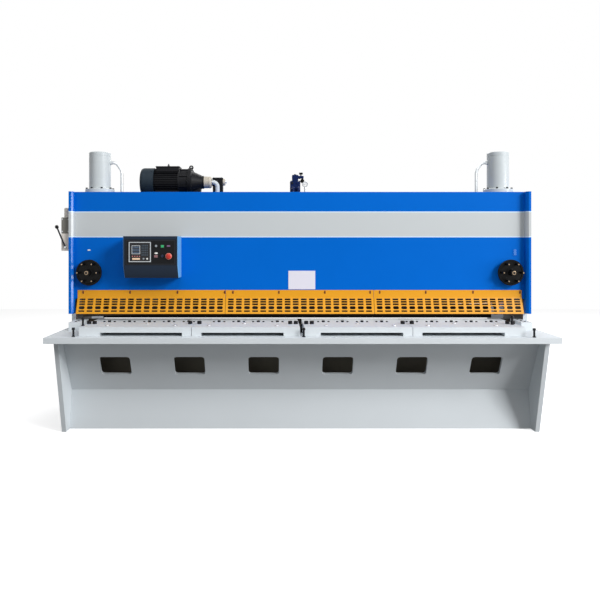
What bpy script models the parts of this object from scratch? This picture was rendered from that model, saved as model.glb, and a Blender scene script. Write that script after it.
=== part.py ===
"""Hydraulic guillotine shear with a 4 m cutting length, in metres, +Z up.

The origin is on the floor, midway between the side plates and under the cutting line.
The front of the machine, where the sheet is fed in, faces -Y, and +X is the operator's right.
"""
import math

import bmesh
import bpy
from mathutils import Matrix, Vector

# Fits
GAP = 0.0003                  # left between pieces that touch
RUNNING = 0.006               # clearance of what moves past something
ROD_FIT = 0.001               # clearance of rods, shafts and pins in their bores

# Side plates
WIDTH = 4.200                 # over the outer faces of the side plates
SIDE_THICKNESS = 0.040
FRAME_TOP = 2.130
FRAME_FRONT = -0.176          # front edge of the side plates above the throat
FOOT_FRONT = -0.355
FOOT_REAR = 0.900
LEG_FRONT_TOP = -0.574
THROAT_BACK = -0.080
THROAT_OPENING = 0.061        # height of the throat above the table top
REAR_KNEE = 1.250             # height where the rear edge starts to lean forward
FRAME_REAR_TOP = 0.700

# Table: a ledge on the legs and raised plates on the ledge
LEDGE_TOP = 0.881
LEDGE_THICKNESS = 0.050
LEDGE_FRONT = -0.720
LEDGE_OVERHANG = 0.034        # past the outer face of each side plate
RISER = 0.029                 # height of the slot under each raised plate
PLATE_THICKNESS = 0.046
PLATE_SETBACK = 0.094         # from the ledge's front edge to the raised plates
PLATE_CLEAR = 0.090           # from the raised plates to the end blocks
PLATE_SEAM = 0.004            # seam between an inner and an outer plate
STUD_GAP = 0.036              # gap for the studs between the two inner plates
FOOT_MIDDLE = 0.137           # solid foot of an inner plate, beside the middle of the table
FOOT_JOINT = 0.078            # solid foot of each plate at the joint of an inner and an outer one
FOOT_END = 0.175              # solid foot of an outer plate, at the end of the table
END_BLOCK_WIDTH = 0.100
END_BLOCK_DEPTH = 0.270

# Bed: apron in front, upright plate under the lower blade
APRON_THICKNESS = 0.030
APRON_TOP_FRONT = -0.464
FOLD_FRONT = -0.205
FOLD_HEIGHT = 0.3405
APRON_BOTTOM_FRONT = -0.257
WINDOW_WIDTH = 0.270
WINDOW_HEIGHT = 0.195         # along the slope
WINDOW_RADIUS = 0.024
WINDOW_PITCH = 0.654
WINDOW_COUNT = 6
WINDOW_BELOW = 0.010          # the windows' centres, below the middle of the upper apron
BED_THICKNESS = 0.060
BED_FOOT_FRONT = -0.160
BED_FOOT_REAR = 0.120
BED_FOOT_THICKNESS = 0.030
BLADE_SEAT = 0.025            # how far the lower blade sits below the ledge top

# Blades and the beam that carries the upper one
BLADE_INSET = 0.040           # from each end of the blades to the side plate
LOWER_BLADE_THICKNESS = 0.030
UPPER_BLADE_THICKNESS = 0.028
UPPER_BLADE_HEIGHT = 0.090
BLADE_GAP = 0.001             # between the two blades, set by the handwheels on the real one
BLADE_OPENING = 0.016         # lowest point of the upper blade above the table at rest
OVERTRAVEL = 0.006            # how far the highest point passes the lower blade
RAKE = math.radians(2.0)      # the upper blade rises to the right
BEAM_THICKNESS = 0.040
BEAM_DROP = 0.220             # from the cylinders' lower ends to the top of the beam
BEAM_ABOVE_BLADE = 0.020      # the blade stands this much below the beam
RIB_DEPTH = 0.100
RIB_THICKNESS = 0.020
RIB_INSET = 0.095             # from each end of the beam to its last rib
RIB_COUNT = 11
GUIDE_WIDTH = 0.070
GUIDE_WEB = 0.0087            # thickness of a guide behind the end of the beam
GUIDE_WALL = 0.040
GUIDE_ABOVE_BLADE = 0.0465    # from the highest corner of the upper blade to the guides
GUIDE_PAST_BEAM = 0.170       # the guides stand this much above the beam

# Front panel and what hangs on it
PANEL_FRONT = -0.112
PANEL_THICKNESS = 0.020
PANEL_LAP = 0.080             # the guard's band laps this much over the panel
HOLDDOWN_COUNT = 14
HOLDDOWN_INSET = 0.240        # from each side plate to the nearest hold-down
HOLDDOWN_RADIUS = 0.032
HOLDDOWN_FOOT_RADIUS = 0.020
HOLDDOWN_LIFT = 0.044         # gap between the table and the raised feet
HOLDDOWN_FOOT = 0.080         # length of a foot below its cylinder
HOLDDOWN_BODY = 0.170         # length of a cylinder below the rail
RAIL_HEIGHT = 0.040
RAIL_MARGIN = 0.006           # the rail is this much deeper than the cylinders

# Guard
GUARD_SECTIONS = 3
GUARD_END = 0.023             # from each end of the guard to the side plate
GUARD_SEAM = 0.003
GUARD_SHEET = 0.004
GUARD_BAND = 0.064            # flat part that is screwed to the panel
GUARD_SLOPE = math.radians(20.0)
FINGER_GAP = 0.0595           # from the table to the guard's lower edge
SLOT_COLUMNS = 18
SLOT_MARGIN = 0.0217          # from each end of a section to its first slot
SLOT_WIDTH = 0.052
SLOT_HEIGHTS = ("thin", "thin", "thin", "tall", "thin")
THIN_SLOT = 0.010
TALL_SLOT = 0.028
SLOT_BAR = 0.013              # height of the bar between two rows of slots
FOLD_MARGIN = 0.015           # from the fold to the first row
GUARD_HEM = 0.025             # from the last row to the lower edge
SLOT_CORNER = 0.008           # corner radius of a tall slot

# Lift cylinders
CYLINDER_INSET = 0.185        # from a side plate to the cylinder's axis
CYLINDER_RADIUS = 0.100
CYLINDER_WALL = 0.025
CYLINDER_ABOVE = 0.381        # above the frame
CYLINDER_BELOW = 0.130
CYLINDER_CAP = 0.036
CYLINDER_EASE = 0.006         # eased edge of the cap
CYLINDER_GLAND = 0.040
FLANGE_RIM = 0.035            # how far the flange stands out from the barrel
FLANGE_THICKNESS = 0.035
ROD_RADIUS = 0.050
PISTON_HEIGHT = 0.060
LUG_WIDTH = 0.180
LUG_DEPTH = 0.110
LUG_BELOW = 0.080             # depth of the lug in the beam
LUG_ABOVE = 0.020
SEAT_THICKNESS = 0.050
SEAT_WIDTH = 0.360
SEAT_REAR = 0.150             # behind the cylinder's axis

# Pipes from the cylinders to the valve block
PIPE_RADIUS = 0.011
PORT_DROP = 0.095             # from the cylinder's top to its port
PIPE_FALL = 0.076             # how far the pipe falls on its way out from the port
PIPE_CLEAR = 0.019            # from the pipe to the cylinder's seat
PIPE_SINK = 0.090             # depth of the long run below the frame's top
PIPE_RUN_Y = 0.150
PIPE_BEND = 0.035

# Power pack on top
SHELF_THICKNESS = 0.012
SHELF_LIP = 0.072
TANK_SINK = 0.012             # depth of the tank's lid below the frame's top
TANK_HEIGHT = 0.368
TANK_LEFT = -1.500
TANK_LENGTH = 1.750
TANK_FRONT = 0.210
TANK_DEPTH = 0.400
MOTOR_INSET = 0.150           # from the tank's front to the motor's axis
MOTOR_CLEAR = 0.004           # under the fan cowl
MOTOR_START = 0.088           # from the tank's left end to the motor's body
MOTOR_LENGTH = 0.237
MOTOR_RADIUS = 0.118
FIN_HEIGHT = 0.014
FIN_COUNT = 24
COWL_LENGTH = 0.133
COWL_RADIUS = 0.140
COWL_FACE = 0.115             # radius of the cowl's flat end
COWL_SHOULDER = 0.033         # length over which the cowl rounds off
BELL_LENGTH = 0.136
BELL_RADIUS = 0.108
BELL_NOSE = 0.064
BELL_LIP = 0.020              # length of the nose's straight lip
RIM_THICKNESS = 0.018         # rims of the motor and the bell where they bolt together
MOTOR_SHIELD = 0.112          # length of the end shield that joins the motor to the bell
EYE_RADIUS = 0.019
EYE_THICKNESS = 0.012
PUMP_LENGTH = 0.075
PUMP_RADIUS = 0.058
PUMP_EASE = 0.012
ELBOW_RADIUS = 0.022
ELBOW_REACH = 0.055
ELBOW_BEND = 0.045
FILTER_WIDTH = 0.100
FILTER_DEPTH = 0.080
FILTER_HEIGHT = 0.196
FILTER_BEHIND = 0.030         # from the elbow's axis back to the filter
FILTER_CAP = 0.034
FILTER_CAP_LENGTH = 0.024
FOOT_WIDTH = 0.220
FOOT_INSET = 0.020            # from the motor's left end to its foot and its terminal box
TERMINAL_WIDTH = 0.150
TERMINAL_SUNK = 0.028         # how far the terminal box reaches into the motor
TERMINAL_HEIGHT = 0.034       # and how far it stands out
BLOCK_INSET = 0.276           # from the tank's right end to the block's middle
BLOCK_WIDTH = 0.100
BLOCK_HEIGHT = 0.150
STACK_WIDTH = 0.060
STACK_HEIGHT = 0.066
RELIEF_RADIUS = 0.016         # relief valve out of the stack's right side
RELIEF_LENGTH = 0.054
RELIEF_DROP = 0.022           # from the stack's top to its axis
RELIEF_KNOB = 0.020
RELIEF_KNOB_DEPTH = 0.036
RELIEF_KNOB_DROP = 0.036      # from the valve's axis to the knob's
STAR_RADIUS = 0.020
STAR_VALLEY = 0.014           # radius between its points
STAR_HEIGHT = 0.046           # from the valve's axis to the star knob's top
STAR_THICKNESS = 0.018
STAR_POINTS = 5
GAUGE_RADIUS = 0.028
GAUGE_DEPTH = 0.028
GAUGE_CLEAR = 0.018           # from the block to the gauge's rim
GAUGE_HEIGHT = 0.121          # from the tank's lid to the gauge's axis
GAUGE_STEM = 0.007

# Handwheels that set the blade gap
WHEEL_ABOVE = 0.162           # height of the axis above the guard
WHEEL_RADIUS = 0.118
WHEEL_CLEAR = 0.022           # from the rim to the side plate
WHEEL_DISC = 0.018
WHEEL_EASE = 0.006            # eased edge of the rim
WHEEL_STAND = 0.038           # from the panel to the disc
WHEEL_HUB_RADIUS = 0.030
WHEEL_HUB = 0.077             # how far the hub stands out from the disc
WHEEL_SHAFT = 0.015
SHAFT_END = 0.042             # how far the shaft stands out behind the panel
PEG_COUNT = 6
PEG_INSET = 0.031             # from the rim to a peg's axis
PEG_RADIUS = 0.010
PEG_LENGTH = 0.068            # how far a peg stands out from the disc

# Control box
BOX_MIDDLE = -1.327
BOX_WIDTH = 0.484
BOX_ABOVE = 0.119             # from the guard to the box
BOX_HEIGHT = 0.372
BOX_CHIN = 0.113              # height of the part that slants back
BOX_DEPTH = 0.217
BOX_SLANT = 0.059
CONTROLLER_WIDTH = 0.194
CONTROLLER_HEIGHT = 0.177
CONTROLLER_LEFT = 0.053       # from the box's left side
CONTROLLER_DROP = 0.051       # from the box's top
CONTROLLER_PROUD = 0.008
STOP_INSET = 0.078            # from the box's right side
STOP_DROP = 0.177             # from the box's top
STOP_BORE = 0.040
STOP_RADIUS = 0.028
STOP_STEM = 0.010
STOP_TRAVEL = 0.006
STOP_HEAD = 0.018
STOP_CROWN = 0.011            # where the head reaches its full radius
STOP_FACE = 0.017             # radius of its flat front

# Lubricating pump on the left side plate
LUBE_SETBACK = 0.036          # from the side plate's front edge
LUBE_WIDTH = 0.100
LUBE_DEPTH = 0.077            # out from the side plate
LUBE_DROP = 0.235             # from the frame's top to the body
LUBE_HEIGHT = 0.147
RESERVOIR_HEIGHT = 0.158
FILLER_WIDTH = 0.060
FILLER_DEPTH = 0.052
FILLER_HEIGHT = 0.088
PIVOT_OUT = 0.035             # from the side plate
PIVOT_UP = 0.032              # from the reservoir's lower end
PIVOT_DEPTH = 0.030
LEVER_LENGTH = 0.200
LEVER_LEAN = math.radians(22.7)
LEVER_RADIUS = 0.005
KNOB_RADIUS = 0.016

# Rear
TIE_LOW = 0.060
TIE_HEIGHT = 0.180
TIE_INSET = 0.070             # from the side plate's rear edge
TIE_THICKNESS = 0.030
GAUGE_BAR_BACK = 0.410        # from the beam to the gauge bar
GAUGE_BAR_INSET = 0.100       # from each end of the bar to the side plate
GAUGE_BAR_THICKNESS = 0.025
GAUGE_BAR_HEIGHT = 0.140
GAUGE_BAR_BELOW = 0.050       # how far the bar reaches below the sheet's level
GAUGE_ARM_X = 1.100
GAUGE_ARM_WIDTH = 0.060
GAUGE_ARM_HEIGHT = 0.080
GAUGE_ARM_LIFT = 0.164        # from the top of the bar to the arm
GAUGE_ARM_LENGTH = 0.690
HANGER_WIDTH = 0.080
HANGER_DEPTH = 0.075
LAP = 0.010                   # how far joined pieces reach into each other

# Places that follow from the sizes
INNER = WIDTH / 2 - SIDE_THICKNESS
TABLE_TOP = LEDGE_TOP + GAP + RISER + PLATE_THICKNESS
LEDGE_LOW = LEDGE_TOP - LEDGE_THICKNESS
PLATE_FRONT = LEDGE_FRONT + PLATE_SETBACK
PLATE_REAR = -LOWER_BLADE_THICKNESS - GAP
PLATE_END = INNER - END_BLOCK_WIDTH - PLATE_CLEAR
PLATE_JOINT = (PLATE_END - STUD_GAP / 2) / 2
THROAT_TOP = TABLE_TOP + THROAT_OPENING
BED_REAR = -RUNNING
BED_FRONT = PLATE_REAR - BED_THICKNESS
BLADE_HALF = INNER - BLADE_INSET
BLADE_RISE = 2 * BLADE_HALF * math.tan(RAKE)
BLADE_LEFT_LOW = TABLE_TOP + BLADE_OPENING
STROKE = BLADE_OPENING + BLADE_RISE + OVERTRAVEL
UPPER_BLADE_FRONT = BLADE_GAP
BEAM_FRONT = UPPER_BLADE_FRONT + UPPER_BLADE_THICKNESS + GAP
BEAM_REAR = BEAM_FRONT + BEAM_THICKNESS
BEAM_HALF = INNER - GAP - GUIDE_WEB - RUNNING
GUIDE_LOW = BLADE_LEFT_LOW + BLADE_RISE + UPPER_BLADE_HEIGHT + GUIDE_ABOVE_BLADE
PANEL_REAR = PANEL_FRONT + PANEL_THICKNESS
HOLDDOWN_Y = PANEL_REAR / 2
HOLDDOWN_LOW = TABLE_TOP + HOLDDOWN_LIFT
RAIL_LOW = HOLDDOWN_LOW + HOLDDOWN_FOOT + HOLDDOWN_BODY
GUARD_SKIRT = (FOLD_MARGIN + (len(SLOT_HEIGHTS) - 1) * (THIN_SLOT + SLOT_BAR) + TALL_SLOT
               + GUARD_HEM)
GUARD_FOLD = TABLE_TOP + FINGER_GAP + GUARD_SKIRT * math.cos(GUARD_SLOPE)
GUARD_TOP = GUARD_FOLD + GUARD_BAND
GUARD_WIDTH = 2 * (INNER - GUARD_END) / GUARD_SECTIONS
SLOT_PITCH = (GUARD_WIDTH - GUARD_SEAM - 2 * SLOT_MARGIN - SLOT_WIDTH) / (SLOT_COLUMNS - 1)
PANEL_BOTTOM = GUARD_TOP - PANEL_LAP
CYLINDER_X = INNER - CYLINDER_INSET
CYLINDER_Y = (BEAM_FRONT + BEAM_REAR) / 2
CYLINDER_BORE = CYLINDER_RADIUS - CYLINDER_WALL
CYLINDER_TOP = FRAME_TOP + CYLINDER_ABOVE
CYLINDER_LOW = FRAME_TOP - CYLINDER_BELOW
BEAM_TOP = CYLINDER_LOW - BEAM_DROP
TANK_TOP = FRAME_TOP - TANK_SINK
TANK_LOW = TANK_TOP - TANK_HEIGHT
TANK_REAR = TANK_FRONT + TANK_DEPTH
MOTOR_Y = TANK_FRONT + MOTOR_INSET
MOTOR_Z = TANK_TOP + MOTOR_CLEAR + COWL_RADIUS
MOTOR_LEFT = TANK_LEFT + MOTOR_START
MOTOR_RIGHT = MOTOR_LEFT + MOTOR_LENGTH
BLOCK_X = TANK_LEFT + TANK_LENGTH - BLOCK_INSET
WHEEL_X = INNER - WHEEL_CLEAR - WHEEL_RADIUS
WHEEL_Z = GUARD_TOP + WHEEL_ABOVE
WHEEL_REAR = PANEL_FRONT - WHEEL_STAND
BOX_LEFT = BOX_MIDDLE - BOX_WIDTH / 2
BOX_RIGHT = BOX_MIDDLE + BOX_WIDTH / 2
BOX_BOTTOM = GUARD_TOP + BOX_ABOVE
BOX_TOP = BOX_BOTTOM + BOX_HEIGHT
BOX_FRONT = PANEL_FRONT - BOX_DEPTH

# Maps from an outline's own plane to the machine: what it is extruded along
ALONG = {
    "X": Matrix(((0, 0, 1, 0), (1, 0, 0, 0), (0, 1, 0, 0), (0, 0, 0, 1))),
    "Y": Matrix(((1, 0, 0, 0), (0, 0, -1, 0), (0, 1, 0, 0), (0, 0, 0, 1))),
    "Z": Matrix.Identity(4),
}
FRONTWARD = Vector((0, -1, 0))


def clear_scene():
    """Removes what the scene holds at the start."""
    for item in list(bpy.data.objects):
        bpy.data.objects.remove(item, do_unlink=True)


def new_collection(name):
    group = bpy.data.collections.new(name)
    bpy.context.scene.collection.children.link(group)
    return group


def finish_of(name, colour, roughness, metallic=0.0):
    """A Principled material with a plain colour."""
    material = bpy.data.materials.new(name)
    material.use_nodes = True
    shader = material.node_tree.nodes["Principled BSDF"]
    shader.inputs["Base Color"].default_value = (*colour, 1.0)
    shader.inputs["Roughness"].default_value = roughness
    shader.inputs["Metallic"].default_value = metallic
    return material


clear_scene()
PARTS = new_collection("guillotine_shear")
CUTTERS = new_collection("cutters")
BLUE = finish_of("blue_enamel", (0.010, 0.150, 0.620), 0.35)
WHITE = finish_of("white_enamel", (0.600, 0.620, 0.640), 0.45)
YELLOW = finish_of("yellow_enamel", (0.800, 0.380, 0.020), 0.45)
STEEL = finish_of("ground_steel", (0.520, 0.520, 0.520), 0.30, 1.0)
BLACK = finish_of("black_enamel", (0.012, 0.012, 0.014), 0.40)
GREY = finish_of("dark_grey_enamel", (0.045, 0.055, 0.070), 0.45)
RED = finish_of("red_plastic", (0.600, 0.020, 0.020), 0.35)
CLEAR = finish_of("milky_plastic", (0.700, 0.700, 0.660), 0.40)


def add_mesh(name, bm, material, matrix=None, smooth=False):
    """Turns a bmesh into an object of the part, placed by its matrix."""
    mesh = bpy.data.meshes.new(name)
    bm.to_mesh(mesh)
    bm.free()
    mesh.materials.append(material)
    if smooth:
        mesh.shade_smooth()
        mesh.set_sharp_from_angle(angle=math.radians(35))
    item = bpy.data.objects.new(name, mesh)
    if matrix is not None:
        item.matrix_world = matrix
    PARTS.objects.link(item)
    return item


def blank(outline, thickness, holes=()):
    """A flat plate as a bmesh: a filled outline with its holes, thick about its own plane."""
    curve = bpy.data.curves.new("outline", "CURVE")
    curve.dimensions = "2D"
    curve.fill_mode = "BOTH"
    curve.extrude = thickness / 2
    for loop in (outline, *holes):
        spline = curve.splines.new("POLY")
        spline.points.add(len(loop) - 1)
        for point, (u, v) in zip(spline.points, loop):
            point.co = (u, v, 0, 1)
        spline.use_cyclic_u = True
    guide = bpy.data.objects.new("outline", curve)
    bpy.context.scene.collection.objects.link(guide)
    graph = bpy.context.evaluated_depsgraph_get()
    mesh = bpy.data.meshes.new_from_object(guide.evaluated_get(graph))
    bm = bmesh.new()
    bm.from_mesh(mesh)
    bpy.data.meshes.remove(mesh)
    bpy.data.objects.remove(guide, do_unlink=True)
    bmesh.ops.remove_doubles(bm, verts=bm.verts, dist=0.00001)
    bmesh.ops.recalc_face_normals(bm, faces=bm.faces)
    return bm


def prism(name, outline, low, high, along, material, holes=()):
    """An outline extruded from low to high along X, Y or Z."""
    middle = (low + high) / 2
    shift = -middle if along == "Y" else middle
    matrix = ALONG[along] @ Matrix.Translation((0, 0, shift))
    return add_mesh(name, blank(outline, high - low, holes), material, matrix)


def box(name, low, high, material):
    """A box from its low corner to its high corner."""
    bm = bmesh.new()
    bmesh.ops.create_cube(bm, size=1.0)
    size = Vector(high) - Vector(low)
    bmesh.ops.scale(bm, vec=size, verts=bm.verts)
    return add_mesh(name, bm, material, Matrix.Translation((Vector(high) + Vector(low)) / 2))


def turned(name, profile, place, axis, material, steps=24):
    """A profile of (radius, height), top to bottom down its outer side, turned about an axis."""
    mesh = bpy.data.meshes.new(name)
    points = [(radius, 0, height) for radius, height in profile]
    edges = [(i, i + 1) for i in range(len(points) - 1)]
    if profile[0][0] > 0:
        edges.append((len(points) - 1, 0))
    mesh.from_pydata(points, edges, [])
    mesh.materials.append(material)
    item = bpy.data.objects.new(name, mesh)
    screw = item.modifiers.new("Turn", "SCREW")
    screw.steps = steps
    screw.render_steps = steps
    screw.use_merge_vertices = True
    screw.merge_threshold = 0.00001
    screw.use_smooth_shade = False
    item.location = place
    item.rotation_mode = "QUATERNION"
    item.rotation_quaternion = Vector((0, 0, 1)).rotation_difference(Vector(axis))
    PARTS.objects.link(item)
    return item


def drum(name, radius, low, high, place, axis, material, steps=24):
    """A plain cylinder from low to high along an axis through a place."""
    bm = bmesh.new()
    bmesh.ops.create_cone(bm, cap_ends=True, segments=steps, radius1=radius, radius2=radius,
                          depth=high - low)
    bmesh.ops.translate(bm, vec=(0, 0, (high + low) / 2), verts=bm.verts)
    turn = Vector((0, 0, 1)).rotation_difference(Vector(axis)).to_matrix().to_4x4()
    return add_mesh(name, bm, material, Matrix.Translation(place) @ turn, smooth=True)


def combine(target, operation, *tools):
    """Cuts tools from the target, or joins them to it, and puts them with the cutters."""
    for tool in tools:
        step = target.modifiers.new(tool.name, "BOOLEAN")
        step.operation = operation
        step.object = tool
        PARTS.objects.unlink(tool)
        CUTTERS.objects.link(tool)
        tool.hide_render = True
        tool.display_type = "WIRE"
    return target


def circle(u, v, radius, steps):
    """Points of a circle in an outline's plane."""
    return [(u + radius * math.cos(2 * math.pi * i / steps),
             v + radius * math.sin(2 * math.pi * i / steps)) for i in range(steps)]


def rounded(u, v, width, height, radius, steps=3):
    """A rectangle about (u, v) with round corners."""
    points = []
    corners = ((1, 1, 0), (-1, 1, 90), (-1, -1, 180), (1, -1, 270))
    for side, end, start in corners:
        for i in range(steps + 1):
            angle = math.radians(start + 90 * i / steps)
            points.append((u + side * (width / 2 - radius) + radius * math.cos(angle),
                           v + end * (height / 2 - radius) + radius * math.sin(angle)))
    return points


def rectangle(low, high):
    return [(low[0], low[1]), (high[0], low[1]), (high[0], high[1]), (low[0], high[1])]


def route(corners, bend, steps=4):
    """A pipe's centre line: straight runs joined by smooth bends."""
    corners = [Vector(corner) for corner in corners]
    points = [corners[0]]
    for before, corner, after in zip(corners, corners[1:], corners[2:]):
        start = corner + (before - corner).normalized() * bend
        end = corner + (after - corner).normalized() * bend
        for i in range(steps + 1):
            t = i / steps
            points.append(start * (1 - t) ** 2 + corner * 2 * t * (1 - t) + end * t ** 2)
    points.append(corners[-1])
    return points


def tube(name, corners, radius, bend, material):
    """A bent pipe with closed ends."""
    curve = bpy.data.curves.new(name, "CURVE")
    curve.dimensions = "3D"
    curve.bevel_depth = radius
    curve.bevel_resolution = 2
    curve.use_fill_caps = True
    points = route(corners, bend)
    spline = curve.splines.new("POLY")
    spline.points.add(len(points) - 1)
    for point, place in zip(spline.points, points):
        point.co = (*place, 1)
    curve.materials.append(material)
    item = bpy.data.objects.new(name, curve)
    PARTS.objects.link(item)
    return item


def side_plates():
    """Two C-shaped plates with a slanting leg, a throat above the table and a leaning back."""
    outline = [
        (FOOT_FRONT, 0), (FOOT_REAR, 0), (FOOT_REAR, REAR_KNEE), (FRAME_REAR_TOP, FRAME_TOP),
        (FRAME_FRONT, FRAME_TOP), (FRAME_FRONT, THROAT_TOP), (THROAT_BACK, THROAT_TOP),
        (THROAT_BACK, LEDGE_LOW - GAP), (LEG_FRONT_TOP, LEDGE_LOW - GAP),
    ]
    prism("side_plate_left", outline, -WIDTH / 2, -INNER, "X", BLUE)
    prism("side_plate_right", outline, INNER, WIDTH / 2, "X", BLUE)


def work_table():
    """The ledge rests on the legs in front of the throat and runs in between the side plates."""
    end = WIDTH / 2 + LEDGE_OVERHANG
    rear = BED_FRONT - GAP
    shoulder = THROAT_BACK - GAP
    outline = [(-end, LEDGE_FRONT), (end, LEDGE_FRONT), (end, shoulder), (INNER, shoulder),
               (INNER, rear), (-INNER, rear), (-INNER, shoulder), (-end, shoulder)]
    return prism("work_table", outline, LEDGE_LOW, LEDGE_TOP, "Z", WHITE)


def table_plates():
    """Four raised plates, each a bridge on two feet, so that a slot shows under its front."""
    inner_end = STUD_GAP / 2
    seam = PLATE_SEAM / 2
    spans = [(-PLATE_END, -PLATE_JOINT - seam, FOOT_END, FOOT_JOINT),
             (-PLATE_JOINT + seam, -inner_end, FOOT_JOINT, FOOT_MIDDLE),
             (inner_end, PLATE_JOINT - seam, FOOT_MIDDLE, FOOT_JOINT),
             (PLATE_JOINT + seam, PLATE_END, FOOT_JOINT, FOOT_END)]
    low = LEDGE_TOP + GAP
    under = low + RISER
    for number, (left, right, left_foot, right_foot) in enumerate(spans, 1):
        start = left + left_foot
        end = right - right_foot
        outline = [(left, low), (start, low), (start, under), (end, under), (end, low), (right, low),
                   (right, TABLE_TOP), (left, TABLE_TOP)]
        prism(f"table_plate_{number}", outline, PLATE_FRONT, PLATE_REAR, "Y", WHITE)
    outer = INNER - GAP
    for side, name in ((-1, "left"), (1, "right")):
        ends = sorted((side * outer, side * (outer - END_BLOCK_WIDTH)))
        box(f"end_block_{name}", (ends[0], PLATE_REAR - END_BLOCK_DEPTH, low),
            (ends[1], PLATE_REAR, TABLE_TOP), WHITE)


def apron():
    """The bed's front: an upper plate that leans back, with windows, and a lower one that returns."""
    top = Vector((APRON_TOP_FRONT, LEDGE_LOW - GAP))
    fold = Vector((FOLD_FRONT, FOLD_HEIGHT))
    foot = Vector((APRON_BOTTOM_FRONT, 0))
    upper_in = Vector((top.y - fold.y, fold.x - top.x)).normalized()
    lower_in = Vector((fold.y - foot.y, foot.x - fold.x)).normalized()
    mitre = (upper_in + lower_in).normalized()
    mitre *= APRON_THICKNESS / mitre.dot(upper_in)
    level = APRON_THICKNESS / upper_in.x
    base = APRON_THICKNESS / lower_in.x
    slack = Vector((0, GAP / 2))
    upper = [top, fold + slack, fold + mitre + slack, top + Vector((level, 0))]
    lower = [fold - slack, foot, foot + Vector((base, 0)), fold + mitre - slack]
    inside = INNER - GAP
    plate = prism("apron_upper", [tuple(p) for p in upper], -inside, inside, "X", WHITE)
    prism("apron_lower", [tuple(p) for p in lower], -inside, inside, "X", WHITE)
    lean = math.atan2(fold.x - top.x, top.y - fold.y)
    middle = (top + fold) / 2 - Vector((0, WINDOW_BELOW))
    middle.x = top.x + (fold.x - top.x) * (top.y - middle.y) / (top.y - fold.y)
    for i in range(WINDOW_COUNT):
        x = (i - (WINDOW_COUNT - 1) / 2) * WINDOW_PITCH
        shape = rounded(0, 0, WINDOW_WIDTH, WINDOW_HEIGHT, WINDOW_RADIUS, 2)
        turn = Matrix.Rotation(lean, 4, "X")
        matrix = Matrix.Translation((x, middle.x, middle.y)) @ turn @ ALONG["Y"]
        cutter = add_mesh(f"window_{i + 1}", blank(shape, 4 * APRON_THICKNESS), WHITE, matrix)
        combine(plate, "DIFFERENCE", cutter)


def bed():
    """An upright plate under the lower blade, on a foot that rests on the floor."""
    shelf = LEDGE_TOP - BLADE_SEAT
    outline = [
        (BED_FOOT_FRONT, 0), (BED_FOOT_REAR, 0), (BED_FOOT_REAR, BED_FOOT_THICKNESS),
        (BED_REAR, BED_FOOT_THICKNESS), (BED_REAR, shelf), (PLATE_REAR, shelf),
        (PLATE_REAR, LEDGE_TOP), (BED_FRONT, LEDGE_TOP),
        (BED_FRONT, BED_FOOT_THICKNESS), (BED_FOOT_FRONT, BED_FOOT_THICKNESS),
    ]
    inside = INNER - GAP
    prism("bed_plate", outline, -inside, inside, "X", WHITE)
    box("lower_blade", (-BLADE_HALF, -LOWER_BLADE_THICKNESS, shelf + GAP), (BLADE_HALF, 0, TABLE_TOP),
        STEEL)


def blade_line(x, above=0.0):
    """Height of the upper blade's edge at x, at rest."""
    return BLADE_LEFT_LOW + (x + BLADE_HALF) * math.tan(RAKE) + above


def blade_beam():
    """A ribbed beam cut off along the rake, with a lug over each end for the cylinder rods."""
    ribs = []
    pitch = 2 * (BEAM_HALF - RIB_INSET) / (RIB_COUNT - 1)
    for i in range(RIB_COUNT):
        x = (i - (RIB_COUNT - 1) / 2) * pitch
        ribs += [(x - RIB_THICKNESS / 2, BEAM_REAR), (x - RIB_THICKNESS / 2, BEAM_REAR + RIB_DEPTH),
                 (x + RIB_THICKNESS / 2, BEAM_REAR + RIB_DEPTH), (x + RIB_THICKNESS / 2, BEAM_REAR)]
    outline = [(-BEAM_HALF, BEAM_FRONT), (-BEAM_HALF, BEAM_REAR), *ribs,
               (BEAM_HALF, BEAM_REAR), (BEAM_HALF, BEAM_FRONT)]
    low = blade_line(-BEAM_HALF, BEAM_ABOVE_BLADE)
    beam = prism("blade_beam", outline, low, BEAM_TOP, "Z", BLUE)
    bm = bmesh.new()
    bm.from_mesh(beam.data)
    middle = (low + BEAM_TOP) / 2
    cut = bmesh.ops.bisect_plane(
        bm, geom=[*bm.verts, *bm.edges, *bm.faces], dist=0.000001, clear_inner=True,
        plane_co=(0, 0, blade_line(0, BEAM_ABOVE_BLADE) - middle),
        plane_no=(-math.sin(RAKE), 0, math.cos(RAKE)))
    bmesh.ops.contextual_create(bm, geom=[e for e in cut["geom_cut"] if isinstance(e, bmesh.types.BMEdge)])
    bmesh.ops.recalc_face_normals(bm, faces=bm.faces)
    bm.to_mesh(beam.data)
    bm.free()
    for side, name in ((-1, "left"), (1, "right")):
        x = side * CYLINDER_X
        low_corner = (x - LUG_WIDTH / 2, CYLINDER_Y - LUG_DEPTH / 2, BEAM_TOP - LUG_BELOW)
        high_corner = (x + LUG_WIDTH / 2, CYLINDER_Y + LUG_DEPTH / 2, BEAM_TOP + LUG_ABOVE)
        combine(beam, "UNION", box(f"lug_{name}", low_corner, high_corner, BLUE))


def upper_blade():
    """The raked blade on the front of the beam."""
    outline = [(-BLADE_HALF, blade_line(-BLADE_HALF)), (BLADE_HALF, blade_line(BLADE_HALF)),
               (BLADE_HALF, blade_line(BLADE_HALF, UPPER_BLADE_HEIGHT)),
               (-BLADE_HALF, blade_line(-BLADE_HALF, UPPER_BLADE_HEIGHT))]
    prism("upper_blade", outline, UPPER_BLADE_FRONT, UPPER_BLADE_FRONT + UPPER_BLADE_THICKNESS,
          "Y", STEEL)


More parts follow.
